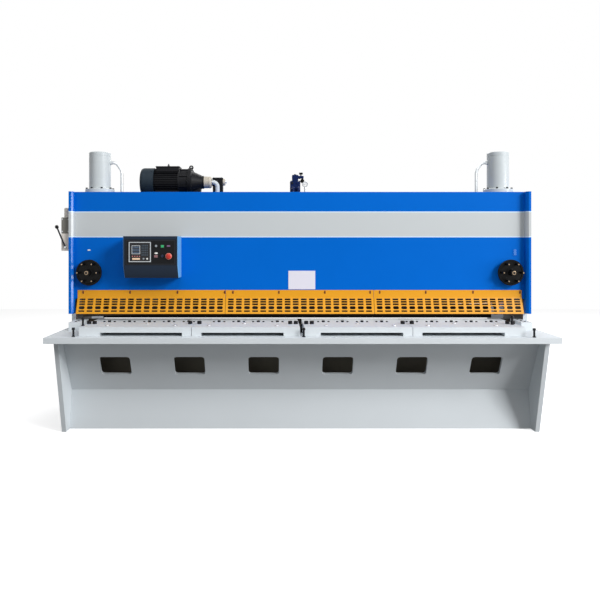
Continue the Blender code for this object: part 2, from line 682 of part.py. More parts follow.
def guides():
    """U-shaped guides on the side plates, around the ends of the beam."""
    for side, name in ((-1, "left"), (1, "right")):
        back = side * (INNER - GAP)
        mouth = side * (INNER - GAP - GUIDE_WIDTH)
        web = side * (BEAM_HALF + RUNNING)
        front = BEAM_FRONT - RUNNING
        rear = BEAM_REAR + RUNNING
        outline = [(back, front - GUIDE_WALL), (back, rear + GUIDE_WALL), (mouth, rear + GUIDE_WALL),
                   (mouth, rear), (web, rear), (web, front), (mouth, front), (mouth, front - GUIDE_WALL)]
        prism(f"guide_{name}", outline, GUIDE_LOW, BEAM_TOP + GUIDE_PAST_BEAM, "Z", STEEL)


def front_panel():
    """The tall plate between the side plates, bored for the two handwheel shafts."""
    inside = INNER - GAP
    bores = [circle(side * WHEEL_X, WHEEL_Z, WHEEL_SHAFT + ROD_FIT, 16) for side in (-1, 1)]
    prism("front_panel", rectangle((-inside, PANEL_BOTTOM), (inside, FRAME_TOP)), PANEL_FRONT,
          PANEL_REAR, "Y", BLUE, bores)


def holddowns():
    """A rail behind the panel with its row of hold-down cylinders."""
    first = INNER - HOLDDOWN_INSET
    pitch = 2 * first / (HOLDDOWN_COUNT - 1)
    end = first + pitch / 2
    rail = box("holddown_bank", (-end, PANEL_REAR + GAP, RAIL_LOW),
               (end, HOLDDOWN_Y + HOLDDOWN_RADIUS + RAIL_MARGIN, RAIL_LOW + RAIL_HEIGHT), GREY)
    shoulder = HOLDDOWN_LOW + HOLDDOWN_FOOT
    profile = [(0, RAIL_LOW + LAP), (HOLDDOWN_RADIUS, RAIL_LOW + LAP), (HOLDDOWN_RADIUS, shoulder),
               (HOLDDOWN_FOOT_RADIUS, shoulder), (HOLDDOWN_FOOT_RADIUS, HOLDDOWN_LOW),
               (0, HOLDDOWN_LOW)]
    for i in range(HOLDDOWN_COUNT):
        combine(rail, "UNION", turned(f"holddown_{i + 1}", profile, (i * pitch - first, HOLDDOWN_Y, 0),
                                      (0, 0, 1), GREY, 8))


def guard_slots():
    """The outlines of one section's slots, row by row down from the fold."""
    slots = []
    top = -FOLD_MARGIN
    for kind in SLOT_HEIGHTS:
        height = TALL_SLOT if kind == "tall" else THIN_SLOT
        middle = top - height / 2
        for column in range(SLOT_COLUMNS):
            u = (column - (SLOT_COLUMNS - 1) / 2) * SLOT_PITCH
            if kind == "tall":
                slots.append(rounded(u, middle, SLOT_WIDTH, height, SLOT_CORNER, 1))
            else:
                slots.append(rectangle((u - SLOT_WIDTH / 2, middle - height / 2),
                                       (u + SLOT_WIDTH / 2, middle + height / 2)))
        top -= height + SLOT_BAR
    return slots


def guard():
    """Three slotted sheets, each screwed to the panel by a flat band and bent forward below it."""
    for number, name in enumerate(("left", "middle", "right")):
        centre = (number - (GUARD_SECTIONS - 1) / 2) * GUARD_WIDTH
        half = GUARD_WIDTH / 2 - GUARD_SEAM / 2
        bm = blank(rectangle((-half, -GUARD_SKIRT), (half, GUARD_BAND)), GUARD_SHEET, guard_slots())
        bmesh.ops.bisect_plane(bm, geom=[*bm.verts, *bm.edges, *bm.faces], dist=0.000001,
                               plane_co=(0, 0, 0), plane_no=(0, 1, 0))
        skirt = [vert for vert in bm.verts if vert.co.y < -0.00001]
        bmesh.ops.rotate(bm, verts=skirt, cent=(0, 0, -GUARD_SHEET / 2),
                         matrix=Matrix.Rotation(-GUARD_SLOPE, 3, "X"))
        y = PANEL_FRONT - GAP - GUARD_SHEET / 2
        add_mesh(f"guard_{name}", bm, YELLOW, Matrix.Translation((centre, y, GUARD_FOLD)) @ ALONG["Y"])


def cylinders():
    """Two cylinders hung by flanges on seats between the side plates and the front panel."""
    length = CYLINDER_TOP - CYLINDER_LOW
    flange = FRAME_TOP + GAP - CYLINDER_LOW
    rim = CYLINDER_RADIUS + FLANGE_RIM
    gland_bore = ROD_RADIUS + ROD_FIT
    barrel = [
        (0, length), (CYLINDER_RADIUS - CYLINDER_EASE, length), (CYLINDER_RADIUS, length - CYLINDER_EASE),
        (CYLINDER_RADIUS, flange + FLANGE_THICKNESS), (rim, flange + FLANGE_THICKNESS),
        (rim, flange), (CYLINDER_RADIUS, flange), (CYLINDER_RADIUS, 0),
        (gland_bore, 0), (gland_bore, CYLINDER_GLAND), (CYLINDER_BORE, CYLINDER_GLAND),
        (CYLINDER_BORE, length - CYLINDER_CAP), (0, length - CYLINDER_CAP),
    ]
    rod_low = BEAM_TOP + LUG_ABOVE + GAP
    rod_top = CYLINDER_TOP - CYLINDER_CAP - RUNNING - rod_low
    rod = [(0, rod_top), (CYLINDER_BORE - ROD_FIT, rod_top),
           (CYLINDER_BORE - ROD_FIT, rod_top - PISTON_HEIGHT), (ROD_RADIUS, rod_top - PISTON_HEIGHT),
           (ROD_RADIUS, 0), (0, 0)]
    for side, name in ((-1, "left"), (1, "right")):
        x = side * CYLINDER_X
        turned(f"cylinder_{name}", barrel, (x, CYLINDER_Y, CYLINDER_LOW), (0, 0, 1), WHITE)
        turned(f"rod_{name}", rod, (x, CYLINDER_Y, rod_low), (0, 0, 1), STEEL)
        outer = side * (INNER - GAP)
        inner = side * (INNER - GAP - SEAT_WIDTH)
        ends = sorted((outer, inner))
        shape = rectangle((ends[0], PANEL_REAR + GAP), (ends[1], CYLINDER_Y + SEAT_REAR))
        hole = circle(x, CYLINDER_Y, CYLINDER_RADIUS + GAP, 24)
        prism(f"cylinder_seat_{name}", shape, FRAME_TOP - SEAT_THICKNESS, FRAME_TOP, "Z", BLUE,
              [hole])


def pipes():
    """Hard pipes from the cylinder ports, down behind the panel and along to the valve block."""
    for side, name in ((-1, "left"), (1, "right")):
        port = side * (CYLINDER_X - CYLINDER_RADIUS - GAP)
        drop = side * (INNER - SEAT_WIDTH - PIPE_CLEAR - PIPE_RADIUS)
        shoulder = (port + drop) / 2
        end = BLOCK_X + side * BLOCK_WIDTH / 4
        high = CYLINDER_TOP - PORT_DROP
        run = FRAME_TOP - PIPE_SINK
        block = TANK_TOP + BLOCK_HEIGHT / 2
        corners = [(port, CYLINDER_Y, high), (shoulder, CYLINDER_Y, high),
                   (drop, CYLINDER_Y, high - PIPE_FALL), (drop, CYLINDER_Y, run),
                   (drop, PIPE_RUN_Y, run), (end, PIPE_RUN_Y, run), (end, PIPE_RUN_Y, block),
                   (end, MOTOR_Y - BLOCK_WIDTH / 2 - GAP, block)]
        tube(f"pipe_{name}", corners, PIPE_RADIUS, PIPE_BEND, STEEL)


def power_pack():
    """Oil tank on a shelf, with the motor, pump and valve block on its lid."""
    inside = INNER - GAP
    shelf_low = TANK_LOW - GAP - SHELF_THICKNESS
    lip = shelf_low - SHELF_LIP
    outline = [(TANK_FRONT, lip), (TANK_FRONT + SHELF_THICKNESS, lip),
               (TANK_FRONT + SHELF_THICKNESS, shelf_low), (TANK_REAR - SHELF_THICKNESS, shelf_low),
               (TANK_REAR - SHELF_THICKNESS, lip), (TANK_REAR, lip),
               (TANK_REAR, TANK_LOW - GAP), (TANK_FRONT, TANK_LOW - GAP)]
    prism("tank_shelf", outline, -inside, inside, "X", BLUE)
    box("oil_tank", (TANK_LEFT, TANK_FRONT, TANK_LOW), (TANK_LEFT + TANK_LENGTH, TANK_REAR, TANK_TOP),
        BLUE)
    motor()
    pump()
    valve_block()


def motor():
    """A foot-mounted motor with cooling fins along it and a fan cowl at its left end."""
    teeth = []
    fin_top = MOTOR_RADIUS + FIN_HEIGHT
    for i in range(FIN_COUNT):
        for share, radius in ((0, MOTOR_RADIUS), (3, MOTOR_RADIUS), (4, fin_top), (9, fin_top)):
            angle = 2 * math.pi * (i + share / 10) / FIN_COUNT
            teeth.append((MOTOR_Y + radius * math.cos(angle), MOTOR_Z + radius * math.sin(angle)))
    body = prism("motor", teeth, MOTOR_LEFT, MOTOR_RIGHT, "X", BLACK)
    rim = MOTOR_SHIELD - RIM_THICKNESS
    shield = turned("motor_shield", [(0, MOTOR_SHIELD), (COWL_RADIUS, MOTOR_SHIELD), (COWL_RADIUS, rim),
                                     (fin_top + GAP, rim), (fin_top + GAP, -LAP), (0, -LAP)],
                    (MOTOR_RIGHT, MOTOR_Y, MOTOR_Z), (1, 0, 0), BLACK)
    foot = box("motor_foot", (MOTOR_LEFT + FOOT_INSET, MOTOR_Y - FOOT_WIDTH / 2, TANK_TOP + GAP),
               (MOTOR_RIGHT + LAP, MOTOR_Y + FOOT_WIDTH / 2, MOTOR_Z - MOTOR_RADIUS + TERMINAL_SUNK), BLACK)
    lid_low = MOTOR_Z + MOTOR_RADIUS - TERMINAL_SUNK
    lid_high = MOTOR_Z + MOTOR_RADIUS + TERMINAL_HEIGHT
    lid = box("terminal_box", (MOTOR_LEFT + FOOT_INSET, MOTOR_Y - TERMINAL_WIDTH / 2, lid_low),
              (MOTOR_RIGHT + LAP, MOTOR_Y + TERMINAL_WIDTH / 2, lid_high), BLACK)
    combine(body, "UNION", shield, foot, lid)
    turned("fan_cowl", [(0, COWL_LENGTH), (COWL_FACE, COWL_LENGTH),
                        (COWL_RADIUS, COWL_LENGTH - COWL_SHOULDER), (COWL_RADIUS, 0), (0, 0)],
           (MOTOR_LEFT - GAP, MOTOR_Y, MOTOR_Z), (-1, 0, 0), BLACK)


def pump():
    """Bell housing with its lifting eye, the pump and its suction elbow, in line with the motor."""
    start = MOTOR_RIGHT + MOTOR_SHIELD + GAP
    bell = turned("bell_housing", [(0, BELL_LENGTH), (BELL_NOSE, BELL_LENGTH),
                                   (BELL_NOSE, BELL_LENGTH - BELL_LIP), (BELL_RADIUS, RIM_THICKNESS),
                                   (COWL_RADIUS, RIM_THICKNESS), (COWL_RADIUS, 0), (0, 0)],
                  (start, MOTOR_Y, MOTOR_Z), (1, 0, 0), BLACK)
    eye = drum("lifting_eye", EYE_RADIUS, -EYE_THICKNESS / 2, EYE_THICKNESS / 2,
               (start + EYE_RADIUS + GAP, MOTOR_Y, MOTOR_Z + COWL_RADIUS + EYE_RADIUS / 2), FRONTWARD,
               BLACK, 12)
    combine(bell, "UNION", eye)
    nose = start + BELL_LENGTH + GAP
    turned("pump", [(0, PUMP_LENGTH), (PUMP_RADIUS - PUMP_EASE, PUMP_LENGTH),
                    (PUMP_RADIUS, PUMP_LENGTH - PUMP_EASE), (PUMP_RADIUS, 0), (0, 0)],
           (nose, MOTOR_Y, MOTOR_Z), (1, 0, 0), WHITE)
    end = nose + PUMP_LENGTH + GAP
    drop = end + ELBOW_REACH
    tube("suction_elbow", [(end, MOTOR_Y, MOTOR_Z), (drop, MOTOR_Y, MOTOR_Z),
                           (drop, MOTOR_Y, TANK_TOP + GAP)], ELBOW_RADIUS, ELBOW_BEND, WHITE)
    front = MOTOR_Y + FILTER_BEHIND
    top = TANK_TOP + FILTER_HEIGHT
    housing = box("filter_block", (drop - FILTER_WIDTH / 2, front, TANK_TOP + GAP),
                  (drop + FILTER_WIDTH / 2, front + FILTER_DEPTH, top), BLACK)
    cap = drum("filter_cap", FILTER_CAP, -LAP, FILTER_CAP_LENGTH,
               (drop + FILTER_WIDTH / 2, front + FILTER_DEPTH / 2, top - FILTER_CAP - LAP), (1, 0, 0), BLACK)
    combine(housing, "UNION", cap)


def valve_block():
    """The valve block with its stack, the relief valve on the stack and the gauge beside them."""
    half = BLOCK_WIDTH / 2
    top = TANK_TOP + BLOCK_HEIGHT
    block = box("valve_block", (BLOCK_X - half, MOTOR_Y - half, TANK_TOP + GAP),
                (BLOCK_X + half, MOTOR_Y + half, top), GREY)
    reach = STACK_WIDTH / 2
    stack = box("valve_stack", (BLOCK_X - reach, MOTOR_Y - reach, top - LAP),
                (BLOCK_X + reach, MOTOR_Y + reach, top + STACK_HEIGHT), GREY)
    combine(block, "UNION", stack)
    wall = BLOCK_X + reach + GAP
    axis = top + STACK_HEIGHT - RELIEF_DROP
    middle = wall + RELIEF_LENGTH / 2
    relief = drum("relief_valve", RELIEF_RADIUS, 0, RELIEF_LENGTH, (wall, MOTOR_Y, axis), (1, 0, 0),
                  STEEL, 12)
    tips = circle(middle, MOTOR_Y, STAR_RADIUS, 2 * STAR_POINTS)[::2]
    valleys = circle(middle, MOTOR_Y, STAR_VALLEY, 2 * STAR_POINTS)[1::2]
    star = [point for pair in zip(tips, valleys) for point in pair]
    star_knob = prism("star_knob", star, axis + STAR_HEIGHT - STAR_THICKNESS, axis + STAR_HEIGHT, "Z", BLACK)
    spindle = drum("spindle", GAUGE_STEM, 0, STAR_HEIGHT - STAR_THICKNESS + GAP, (middle, MOTOR_Y, axis),
                   (0, 0, 1), STEEL, 10)
    aside = BLOCK_X + half + RELIEF_KNOB + ROD_FIT
    knob = drum("relief_knob", RELIEF_KNOB, -RELIEF_KNOB_DEPTH / 2, RELIEF_KNOB_DEPTH / 2,
                (aside, MOTOR_Y, axis - RELIEF_KNOB_DROP), FRONTWARD, BLACK, 16)
    link = drum("relief_link", GAUGE_STEM, -RELIEF_KNOB_DROP, 0, (aside, MOTOR_Y, axis), (0, 0, 1),
                STEEL, 10)
    combine(relief, "UNION", spindle, star_knob, link, knob)
    x = BLOCK_X + half + GAUGE_CLEAR + GAUGE_RADIUS
    height = TANK_TOP + GAUGE_HEIGHT
    gauge = drum("pressure_gauge", GAUGE_RADIUS, -GAUGE_DEPTH / 2, GAUGE_DEPTH / 2,
                 (x, MOTOR_Y - half, height), FRONTWARD, STEEL)
    stem = drum("gauge_stem", GAUGE_STEM, GAP - GAUGE_HEIGHT, 0, (x, MOTOR_Y - half, height), (0, 0, 1),
                STEEL, 10)
    combine(gauge, "UNION", stem)


def handwheels():
    """Black discs with a long hub, six finger pegs and a shaft through the front panel."""
    for side, name in ((-1, "left"), (1, "right")):
        place = (side * WHEEL_X, 0, WHEEL_Z)
        disc_front = WHEEL_DISC - WHEEL_REAR
        profile = [(0, disc_front + WHEEL_HUB), (WHEEL_HUB_RADIUS, disc_front + WHEEL_HUB),
                   (WHEEL_HUB_RADIUS, disc_front), (WHEEL_RADIUS - WHEEL_EASE, disc_front),
                   (WHEEL_RADIUS, disc_front - WHEEL_EASE), (WHEEL_RADIUS, -WHEEL_REAR),
                   (WHEEL_HUB_RADIUS, -WHEEL_REAR), (WHEEL_HUB_RADIUS, -PANEL_FRONT + RUNNING),
                   (WHEEL_SHAFT, -PANEL_FRONT + RUNNING), (WHEEL_SHAFT, -PANEL_REAR - SHAFT_END),
                   (0, -PANEL_REAR - SHAFT_END)]
        wheel = turned(f"handwheel_{name}", profile, place, FRONTWARD, BLACK)
        circle_radius = WHEEL_RADIUS - PEG_INSET
        for i, (x, z) in enumerate(circle(place[0], WHEEL_Z, circle_radius, PEG_COUNT)):
            peg = drum(f"peg_{name}_{i + 1}", PEG_RADIUS, disc_front - LAP, disc_front + PEG_LENGTH,
                       (x, 0, z), FRONTWARD, BLACK, 6)
            combine(wheel, "UNION", peg)


def control_box():
    """The control box on the panel, with its controller and the emergency stop."""
    rear = PANEL_FRONT - GAP
    outline = [(rear, BOX_BOTTOM), (BOX_FRONT + BOX_SLANT, BOX_BOTTOM), (BOX_FRONT, BOX_BOTTOM + BOX_CHIN),
               (BOX_FRONT, BOX_TOP), (rear, BOX_TOP)]
    housing = prism("control_box", outline, BOX_LEFT, BOX_RIGHT, "X", GREY)
    stop = (BOX_RIGHT - STOP_INSET, 0, BOX_TOP - STOP_DROP)
    bore = drum("stop_bore", STOP_STEM + ROD_FIT, -BOX_FRONT - STOP_BORE, -BOX_FRONT + LAP, stop,
                FRONTWARD, GREY, 16)
    combine(housing, "DIFFERENCE", bore)
    left = BOX_LEFT + CONTROLLER_LEFT
    top = BOX_TOP - CONTROLLER_DROP
    box("controller", (left, BOX_FRONT - GAP - CONTROLLER_PROUD, top - CONTROLLER_HEIGHT),
        (left + CONTROLLER_WIDTH, BOX_FRONT - GAP, top), BLACK)
    clear = STOP_TRAVEL + RUNNING
    end = 2 * STOP_TRAVEL - STOP_BORE
    profile = [(0, clear + STOP_HEAD), (STOP_FACE, clear + STOP_HEAD),
               (STOP_RADIUS, clear + STOP_CROWN), (STOP_RADIUS, clear), (STOP_STEM, clear),
               (STOP_STEM, end), (0, end)]
    turned("emergency_stop", profile, (stop[0], BOX_FRONT, stop[2]), FRONTWARD, RED)


def lubricator():
    """Hand pump for oil on the left side plate: body, reservoir under it and a lever."""
    wall = -WIDTH / 2 - GAP
    out = wall - LUBE_DEPTH
    front = FRAME_FRONT + LUBE_SETBACK
    top = FRAME_TOP - LUBE_DROP
    low = top - LUBE_HEIGHT
    body = box("lubricator_body", (out, front, low), (wall, front + LUBE_WIDTH, top), GREY)
    x = (wall + out) / 2
    y = front + LUBE_WIDTH / 2
    filler = box("lubricator_filler", (x - FILLER_DEPTH / 2, y - FILLER_WIDTH / 2, top - LAP),
                 (x + FILLER_DEPTH / 2, y + FILLER_WIDTH / 2, top + FILLER_HEIGHT), GREY)
    combine(body, "UNION", filler)
    foot = low - RESERVOIR_HEIGHT
    tank = box("lubricator_reservoir", (out, front, foot), (wall, front + LUBE_WIDTH, low - GAP), CLEAR)
    x = -WIDTH / 2 - PIVOT_OUT
    z = foot + PIVOT_UP
    bore = drum("pivot_bore", LEVER_RADIUS + ROD_FIT, -front - PIVOT_DEPTH, -front + LAP, (x, 0, z),
                FRONTWARD, CLEAR, 12)
    combine(tank, "DIFFERENCE", bore)
    plane = front - RUNNING - 2 * LEVER_RADIUS
    pin = drum("lubricator_lever", LEVER_RADIUS, ROD_FIT - front - PIVOT_DEPTH, -plane + LEVER_RADIUS,
               (x, 0, z), FRONTWARD, BLACK, 12)
    along = Vector((-math.sin(LEVER_LEAN), 0, math.cos(LEVER_LEAN)))
    arm = drum("lever_arm", LEVER_RADIUS, -LEVER_RADIUS, LEVER_LENGTH, (x, plane, z), along, BLACK, 10)
    knob = drum("lever_knob", KNOB_RADIUS, LEVER_LENGTH - KNOB_RADIUS, LEVER_LENGTH + KNOB_RADIUS,
                (x, plane, z), along, BLACK, 14)
    combine(pin, "UNION", arm, knob)


def rear():
    """Cross tie at the foot of the frame and the back gauge on the blade beam."""
    inside = INNER - GAP
    tie = FOOT_REAR - TIE_INSET
    box("rear_tie", (-inside, tie - TIE_THICKNESS, TIE_LOW), (inside, tie, TIE_LOW + TIE_HEIGHT), BLUE)
    half = INNER - GAUGE_BAR_INSET
    front = BEAM_REAR + GAUGE_BAR_BACK
    low = TABLE_TOP - GAUGE_BAR_BELOW
    top = low + GAUGE_BAR_HEIGHT
    bar = box("back_gauge", (-half, front, low), (half, front + GAUGE_BAR_THICKNESS, top), STEEL)
    for side, name in ((-1, "left"), (1, "right")):
        x = side * GAUGE_ARM_X
        arm_low = top + GAUGE_ARM_LIFT
        arm = box(f"gauge_arm_{name}", (x - GAUGE_ARM_WIDTH / 2, BEAM_REAR + GAP, arm_low),
                  (x + GAUGE_ARM_WIDTH / 2, BEAM_REAR + GAUGE_ARM_LENGTH, arm_low + GAUGE_ARM_HEIGHT), BLUE)
        hanger = box(f"gauge_hanger_{name}",
                     (x - HANGER_WIDTH / 2, front + GAUGE_BAR_THICKNESS / 4, top - LAP),
                     (x + HANGER_WIDTH / 2, front + HANGER_DEPTH, arm_low + LAP), BLUE)
        combine(bar, "UNION", hanger, arm)


side_plates()
work_table()
table_plates()
apron()
bed()
blade_beam()
upper_blade()
guides()
front_panel()
holddowns()
guard()
cylinders()
pipes()
power_pack()
handwheels()
control_box()
lubricator()
rear()
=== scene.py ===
"""Looks of a hydraulic guillotine shear, laid out as a Blender add-on and run as a script."""
import math
from itertools import product

import bmesh
import bpy
from mathutils import Matrix, Vector


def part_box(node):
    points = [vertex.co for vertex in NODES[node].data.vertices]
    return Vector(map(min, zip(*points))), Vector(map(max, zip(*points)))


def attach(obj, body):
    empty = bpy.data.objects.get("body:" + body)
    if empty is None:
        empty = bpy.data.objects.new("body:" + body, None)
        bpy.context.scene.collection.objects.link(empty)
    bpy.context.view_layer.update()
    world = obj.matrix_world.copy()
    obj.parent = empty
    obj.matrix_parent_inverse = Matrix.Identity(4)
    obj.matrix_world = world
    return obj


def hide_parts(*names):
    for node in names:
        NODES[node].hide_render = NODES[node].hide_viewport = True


bl_info = {
    "name": "Guillotine shear looks",
    "version": (1, 0, 0),
    "blender": (4, 5, 0),
    "location": "View3D > Sidebar > Shear",
    "description": "Paint, fasteners, controls and studio for a hydraulic guillotine shear",
    "category": "Object",
}

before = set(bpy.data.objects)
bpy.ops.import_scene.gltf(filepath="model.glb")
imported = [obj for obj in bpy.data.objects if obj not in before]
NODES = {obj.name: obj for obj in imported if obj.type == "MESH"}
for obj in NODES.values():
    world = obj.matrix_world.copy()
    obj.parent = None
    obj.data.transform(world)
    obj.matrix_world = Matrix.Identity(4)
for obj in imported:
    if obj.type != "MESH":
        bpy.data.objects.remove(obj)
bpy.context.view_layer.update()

UP = (0, 0, 1)
FRONT = (0, -1, 0)
BACK = (0, 1, 0)
RIGHT = (1, 0, 0)
LEFT = (-1, 0, 0)
SIDES = (("left", -1), ("right", 1))
TURN = 2 * math.pi
SKIN = 0.0003                 # gap between a laid-on piece and what carries it
WHITE = (1.0, 1.0, 1.0, 1.0)

# Places read from the photograph, in metres. The table's screws and balls are mirrored about its middle
FIXING_X = (0.205, 0.375, 0.550, 0.725, 0.9945, 1.172, 1.346, 1.524, 1.702)
FIXING_Y = -0.272
SETTING_ASIDE = 0.046         # from a fixing screw to the set screw on each side of it
HEAVY_X = (0.045, 0.094, 0.885, 0.965, 1.797, 1.845)
HEAVY_Y = -0.405
BALL_XY = ((0.210, -0.51), (0.790, -0.51), (1.080, -0.51), (1.660, -0.51), (0.495, -0.375), (1.340, -0.375))
STUD_XY = ((-1.905, -0.650), (1.915, -0.690), (0.0, -0.420), (0.012, -0.668))      # on the ledge
TABLE_STUD_XY = ((-1.862, -0.530), (1.821, -0.455))                                # on the raised plates
GUARD_SLOPE = math.radians(20.0)
GUARD_BAND = 0.064            # the guard's flat part, above its fold
SLOT_DROP = 0.004             # how much lower than in the solids the rows of slots are shown
# Each row of slots, down from the fold: its middle, half its height, and what each end is opened by
SLOT_ROWS = ((0.020, 0.005, 0.003), (0.043, 0.005, 0.003), (0.066, 0.005, 0.003), (0.098, 0.014, 0.0),
             (0.130, 0.005, 0.002))
GUARD_SCREW_X = (-1.984, -1.554, -1.119, -0.687, -0.611, -0.190, 0.231, 0.646, 0.734, 1.156, 1.589, 2.019)
GUIDE_SCREW_Y = (-0.006, 0.106)
GUIDE_SCREW_Z = (1.33, 1.87)  # the lowest and the highest of five
PLATE_CHAMFER = 0.017         # on the inner front edge of each side plate, above the throat
CHAMFER_BACK = -0.1585        # y just behind that chamfer, as far as the front's paint reaches
BLADE_RAKE = math.radians(2.0)
BEAM_PLATE = 0.0403           # from the upper blade's back to the nuts behind the beam's plate
PIPE_RUN = (0.150, 2.040)     # y and z of the pipes' long run behind the panel
PIPE_DROP = (1.67, 0.076)     # x where a pipe turns down, and how far below its port

# Soft square lights that face the middle of the machine: name, place, size and power
LAMPS = (
    ("key", (11.8, -10.4, 8.8), 5.2, 2520.0),
    ("side", (9.0, -3.5, 1.45), 3.4, 240.0),
    ("overhead", (-0.5, -3.4, 6.5), 4.0, 150.0),
    ("fill", (-5.0, -6.5, 3.0), 5.0, 30.0),
    ("rear", (2.0, 6.0, 6.0), 5.0, 330.0),
)


def linear(code):
    """An sRGB hex colour as linear RGBA."""
    values = [int(code[i:i + 2], 16) / 255 for i in (0, 2, 4)]
    return tuple(v / 12.92 if v <= 0.04045 else ((v + 0.055) / 1.055) ** 2.4 for v in values) + (1.0,)


def shade(colour, factor):
    """A linear colour made lighter or darker."""
    return tuple(min(1.0, v * factor) for v in colour[:3]) + (1.0,)


def colour_of(name, description, code):
    """A colour that the user may change."""
    return bpy.props.FloatVectorProperty(name=name, description=description, subtype="COLOR", size=4,
                                         min=0.0, max=1.0, default=linear(code))


def size_of(name, description, metres):
    """A length that the user may change."""
    return bpy.props.FloatProperty(name=name, description=description, subtype="DISTANCE", unit="LENGTH",
                                   min=0.0, default=metres, precision=4)


class ShearColours(bpy.types.PropertyGroup):
    """Paint and plastic colours of the shear"""

    blue: colour_of("Frame blue", "Enamel of the frame, the panel and the tank", "0062C4")
    stripe: colour_of("Stripe", "Grey-white band across the front", "BFC4C6")
    border: colour_of("Stripe border", "Thin lines along the band", "CDE1F0")
    white: colour_of("Body white", "Enamel of the legs, the table and the apron", "D2D8DC")
    barrel: colour_of("Cylinder white", "Enamel of the lift cylinders", "BEC5C8")
    yellow: colour_of("Guard yellow", "Safety enamel of the finger guard", "D99512")
    motor: colour_of("Motor enamel", "Dark enamel of the motor and the bell housing", "0A0B0F")
    cowl: colour_of("Cowl enamel", "Slate enamel of the fan cowl", "1F2A33")
    slate: colour_of("Control box enamel", "Slate enamel of the control box", "1C2736")
    pump: colour_of("Pump enamel", "Beige enamel of the pump", "B9B2A4")
    navy: colour_of("Valve enamel", "Navy enamel of the valve block and its stack", "14234C")
    # Its use on the beam's front is painted shade, for the shade behind the guard
    primer: colour_of("Inner grey", "Warm grey primer of the bed and the beam's front", "7C776C")
    stop: colour_of("Stop red", "Red of the emergency stop", "BC3226")


class ShearSizes(bpy.types.PropertyGroup):
    """Sizes that the looks add to the CAD shapes"""

    plate_ease: size_of("Plate edge", "Eased edge of the thick plates", 0.0015)
    stripe_low: size_of("Stripe bottom", "Height of the band's lower edge", 1.713)
    stripe_high: size_of("Stripe top", "Height of the band's upper edge", 1.950)
    border_width: size_of("Border width", "Width of the lines along the band", 0.009)
    table_screw: size_of("Table screw", "Radius of the screws in the table plates", 0.010)


# ---- Materials ----------------------------------------------------------------------------------

def feed(tree, item, sockets):
    """Gives sockets their values, by name or in order; a node stands for its first live output."""
    for socket, value in sockets.items() if isinstance(sockets, dict) else enumerate(sockets):
        if isinstance(value, bpy.types.Node):
            value = next(output for output in value.outputs if output.enabled)
        if isinstance(value, bpy.types.NodeSocket):
            tree.links.new(value, item.inputs[socket])
        else:
            item.inputs[socket].default_value = value


def add(tree, kind, sockets=(), **settings):
    """Adds a node with its settings and what its sockets take."""
    item = tree.nodes.new(f"ShaderNode{kind}")
    for name, value in settings.items():
        setattr(item, name, value)
    feed(tree, item, sockets)
    return item


def begin(name, **sockets):
    """A new Principled material: the material, its tree, its shader and the Object coordinates."""
    material = bpy.data.materials.new(name)
    material.use_nodes = True
    tree = material.node_tree
    shader = tree.nodes["Principled BSDF"]
    feed(tree, shader, {socket.replace("_", " "): value for socket, value in sockets.items()})
    return material, tree, shader, add(tree, "TexCoord").outputs["Object"]


def dress(begun, colour, tint, rough, share, height, bump, colours=None):
    """Ends a material: a share spreads its tint and its roughness, and a height gives its bump.

    tint and rough are each (low, high), and bump is (strength, metres). colours paints over the base.
    """
    material, tree, shader, place = begun
    low, high = (shade(colour, factor) for factor in tint)
    base = add(tree, "Mix", {0: share, 6: low, 7: high}, data_type="RGBA")
    if colours:
        base = colours(tree, place, base)
    feed(tree, shader, {
        "Base Color": base,
        "Roughness": add(tree, "MapRange", {"Value": share, "To Min": rough[0], "To Max": rough[1]}),
        "Normal": add(tree, "Bump", {"Height": height, "Strength": bump[0], "Distance": bump[1]})})
    return material


def enamel(name, colour, roughness, cloud=0.05, peel=0.25, colours=None, coat=0.0, gloss=0.35):
    """Sprayed enamel over steel: even colour with a faint cloudiness and a fine orange peel.

    Clouds are 400 mm across, as film thickness varies on big plates. Orange peel is about 3 mm from
    crest to crest on the real paint, and is drawn at 6 mm so that it shows.
    """
    begun = begin(name, IOR=1.5, Specular_IOR_Level=gloss, Coat_Weight=coat, Coat_Roughness=0.08)
    _, tree, _, place = begun
    clouds = add(tree, "TexNoise", {"Vector": place, "Scale": 1 / 0.4, "Detail": 3.0})
    grain = add(tree, "TexNoise", {"Vector": place, "Scale": 1 / 0.006, "Detail": 2.0})
    return dress(begun, colour, (1 - cloud, 1 + cloud), (roughness - 0.05, roughness + 0.07),
                 clouds, grain, (peel, 0.0004), colours)


def metal(name, code, roughness, lines=(0.012, 0.012, 0.012), uneven=0.08):
    """Bare or plated metal; lines is how far its grain reaches along X, Y and Z, in metres.

    Plating has clouds of 12 mm, which are drawn at that size.
    """
    begun = begin(name, Metallic=1.0)
    _, tree, _, place = begun
    scaled = add(tree, "Mapping", {"Vector": place, "Scale": tuple(1 / reach for reach in lines)})
    grain = add(tree, "TexNoise", {"Vector": scaled, "Scale": 1.0, "Detail": 4.0})
    return dress(begun, linear(code), (0.85, 1.1), (roughness - uneven, roughness + uneven),
                 grain, grain, (0.15, 0.0003))


def moulded(name, colour, roughness, ior=1.5, gloss=0.35):
    """Moulded plastic: even colour and a slightly uneven gloss.

    The mould's spark-eroded grain is about 0.1 mm, and is drawn at 1.5 mm so that it shows.
    """
    begun = begin(name, IOR=ior, Specular_IOR_Level=gloss)
    _, tree, _, place = begun
    skin = add(tree, "TexNoise", {"Vector": place, "Scale": 1 / 0.0015, "Detail": 2.0})
    return dress(begun, colour, (0.94, 1.06), (roughness - 0.04, roughness + 0.06), skin, skin, (0.1, 0.0002))


def within(tree, across, up, left, right, bottom, top):
    """1 inside a rectangle of two coordinates, and 0 outside it."""
    wide = add(tree, "Math", (across, (left + right) / 2, (right - left) / 2), operation="COMPARE")
    tall = add(tree, "Math", (up, (bottom + top) / 2, (top - bottom) / 2), operation="COMPARE")
    return add(tree, "Math", (wide, tall), operation="MULTIPLY")


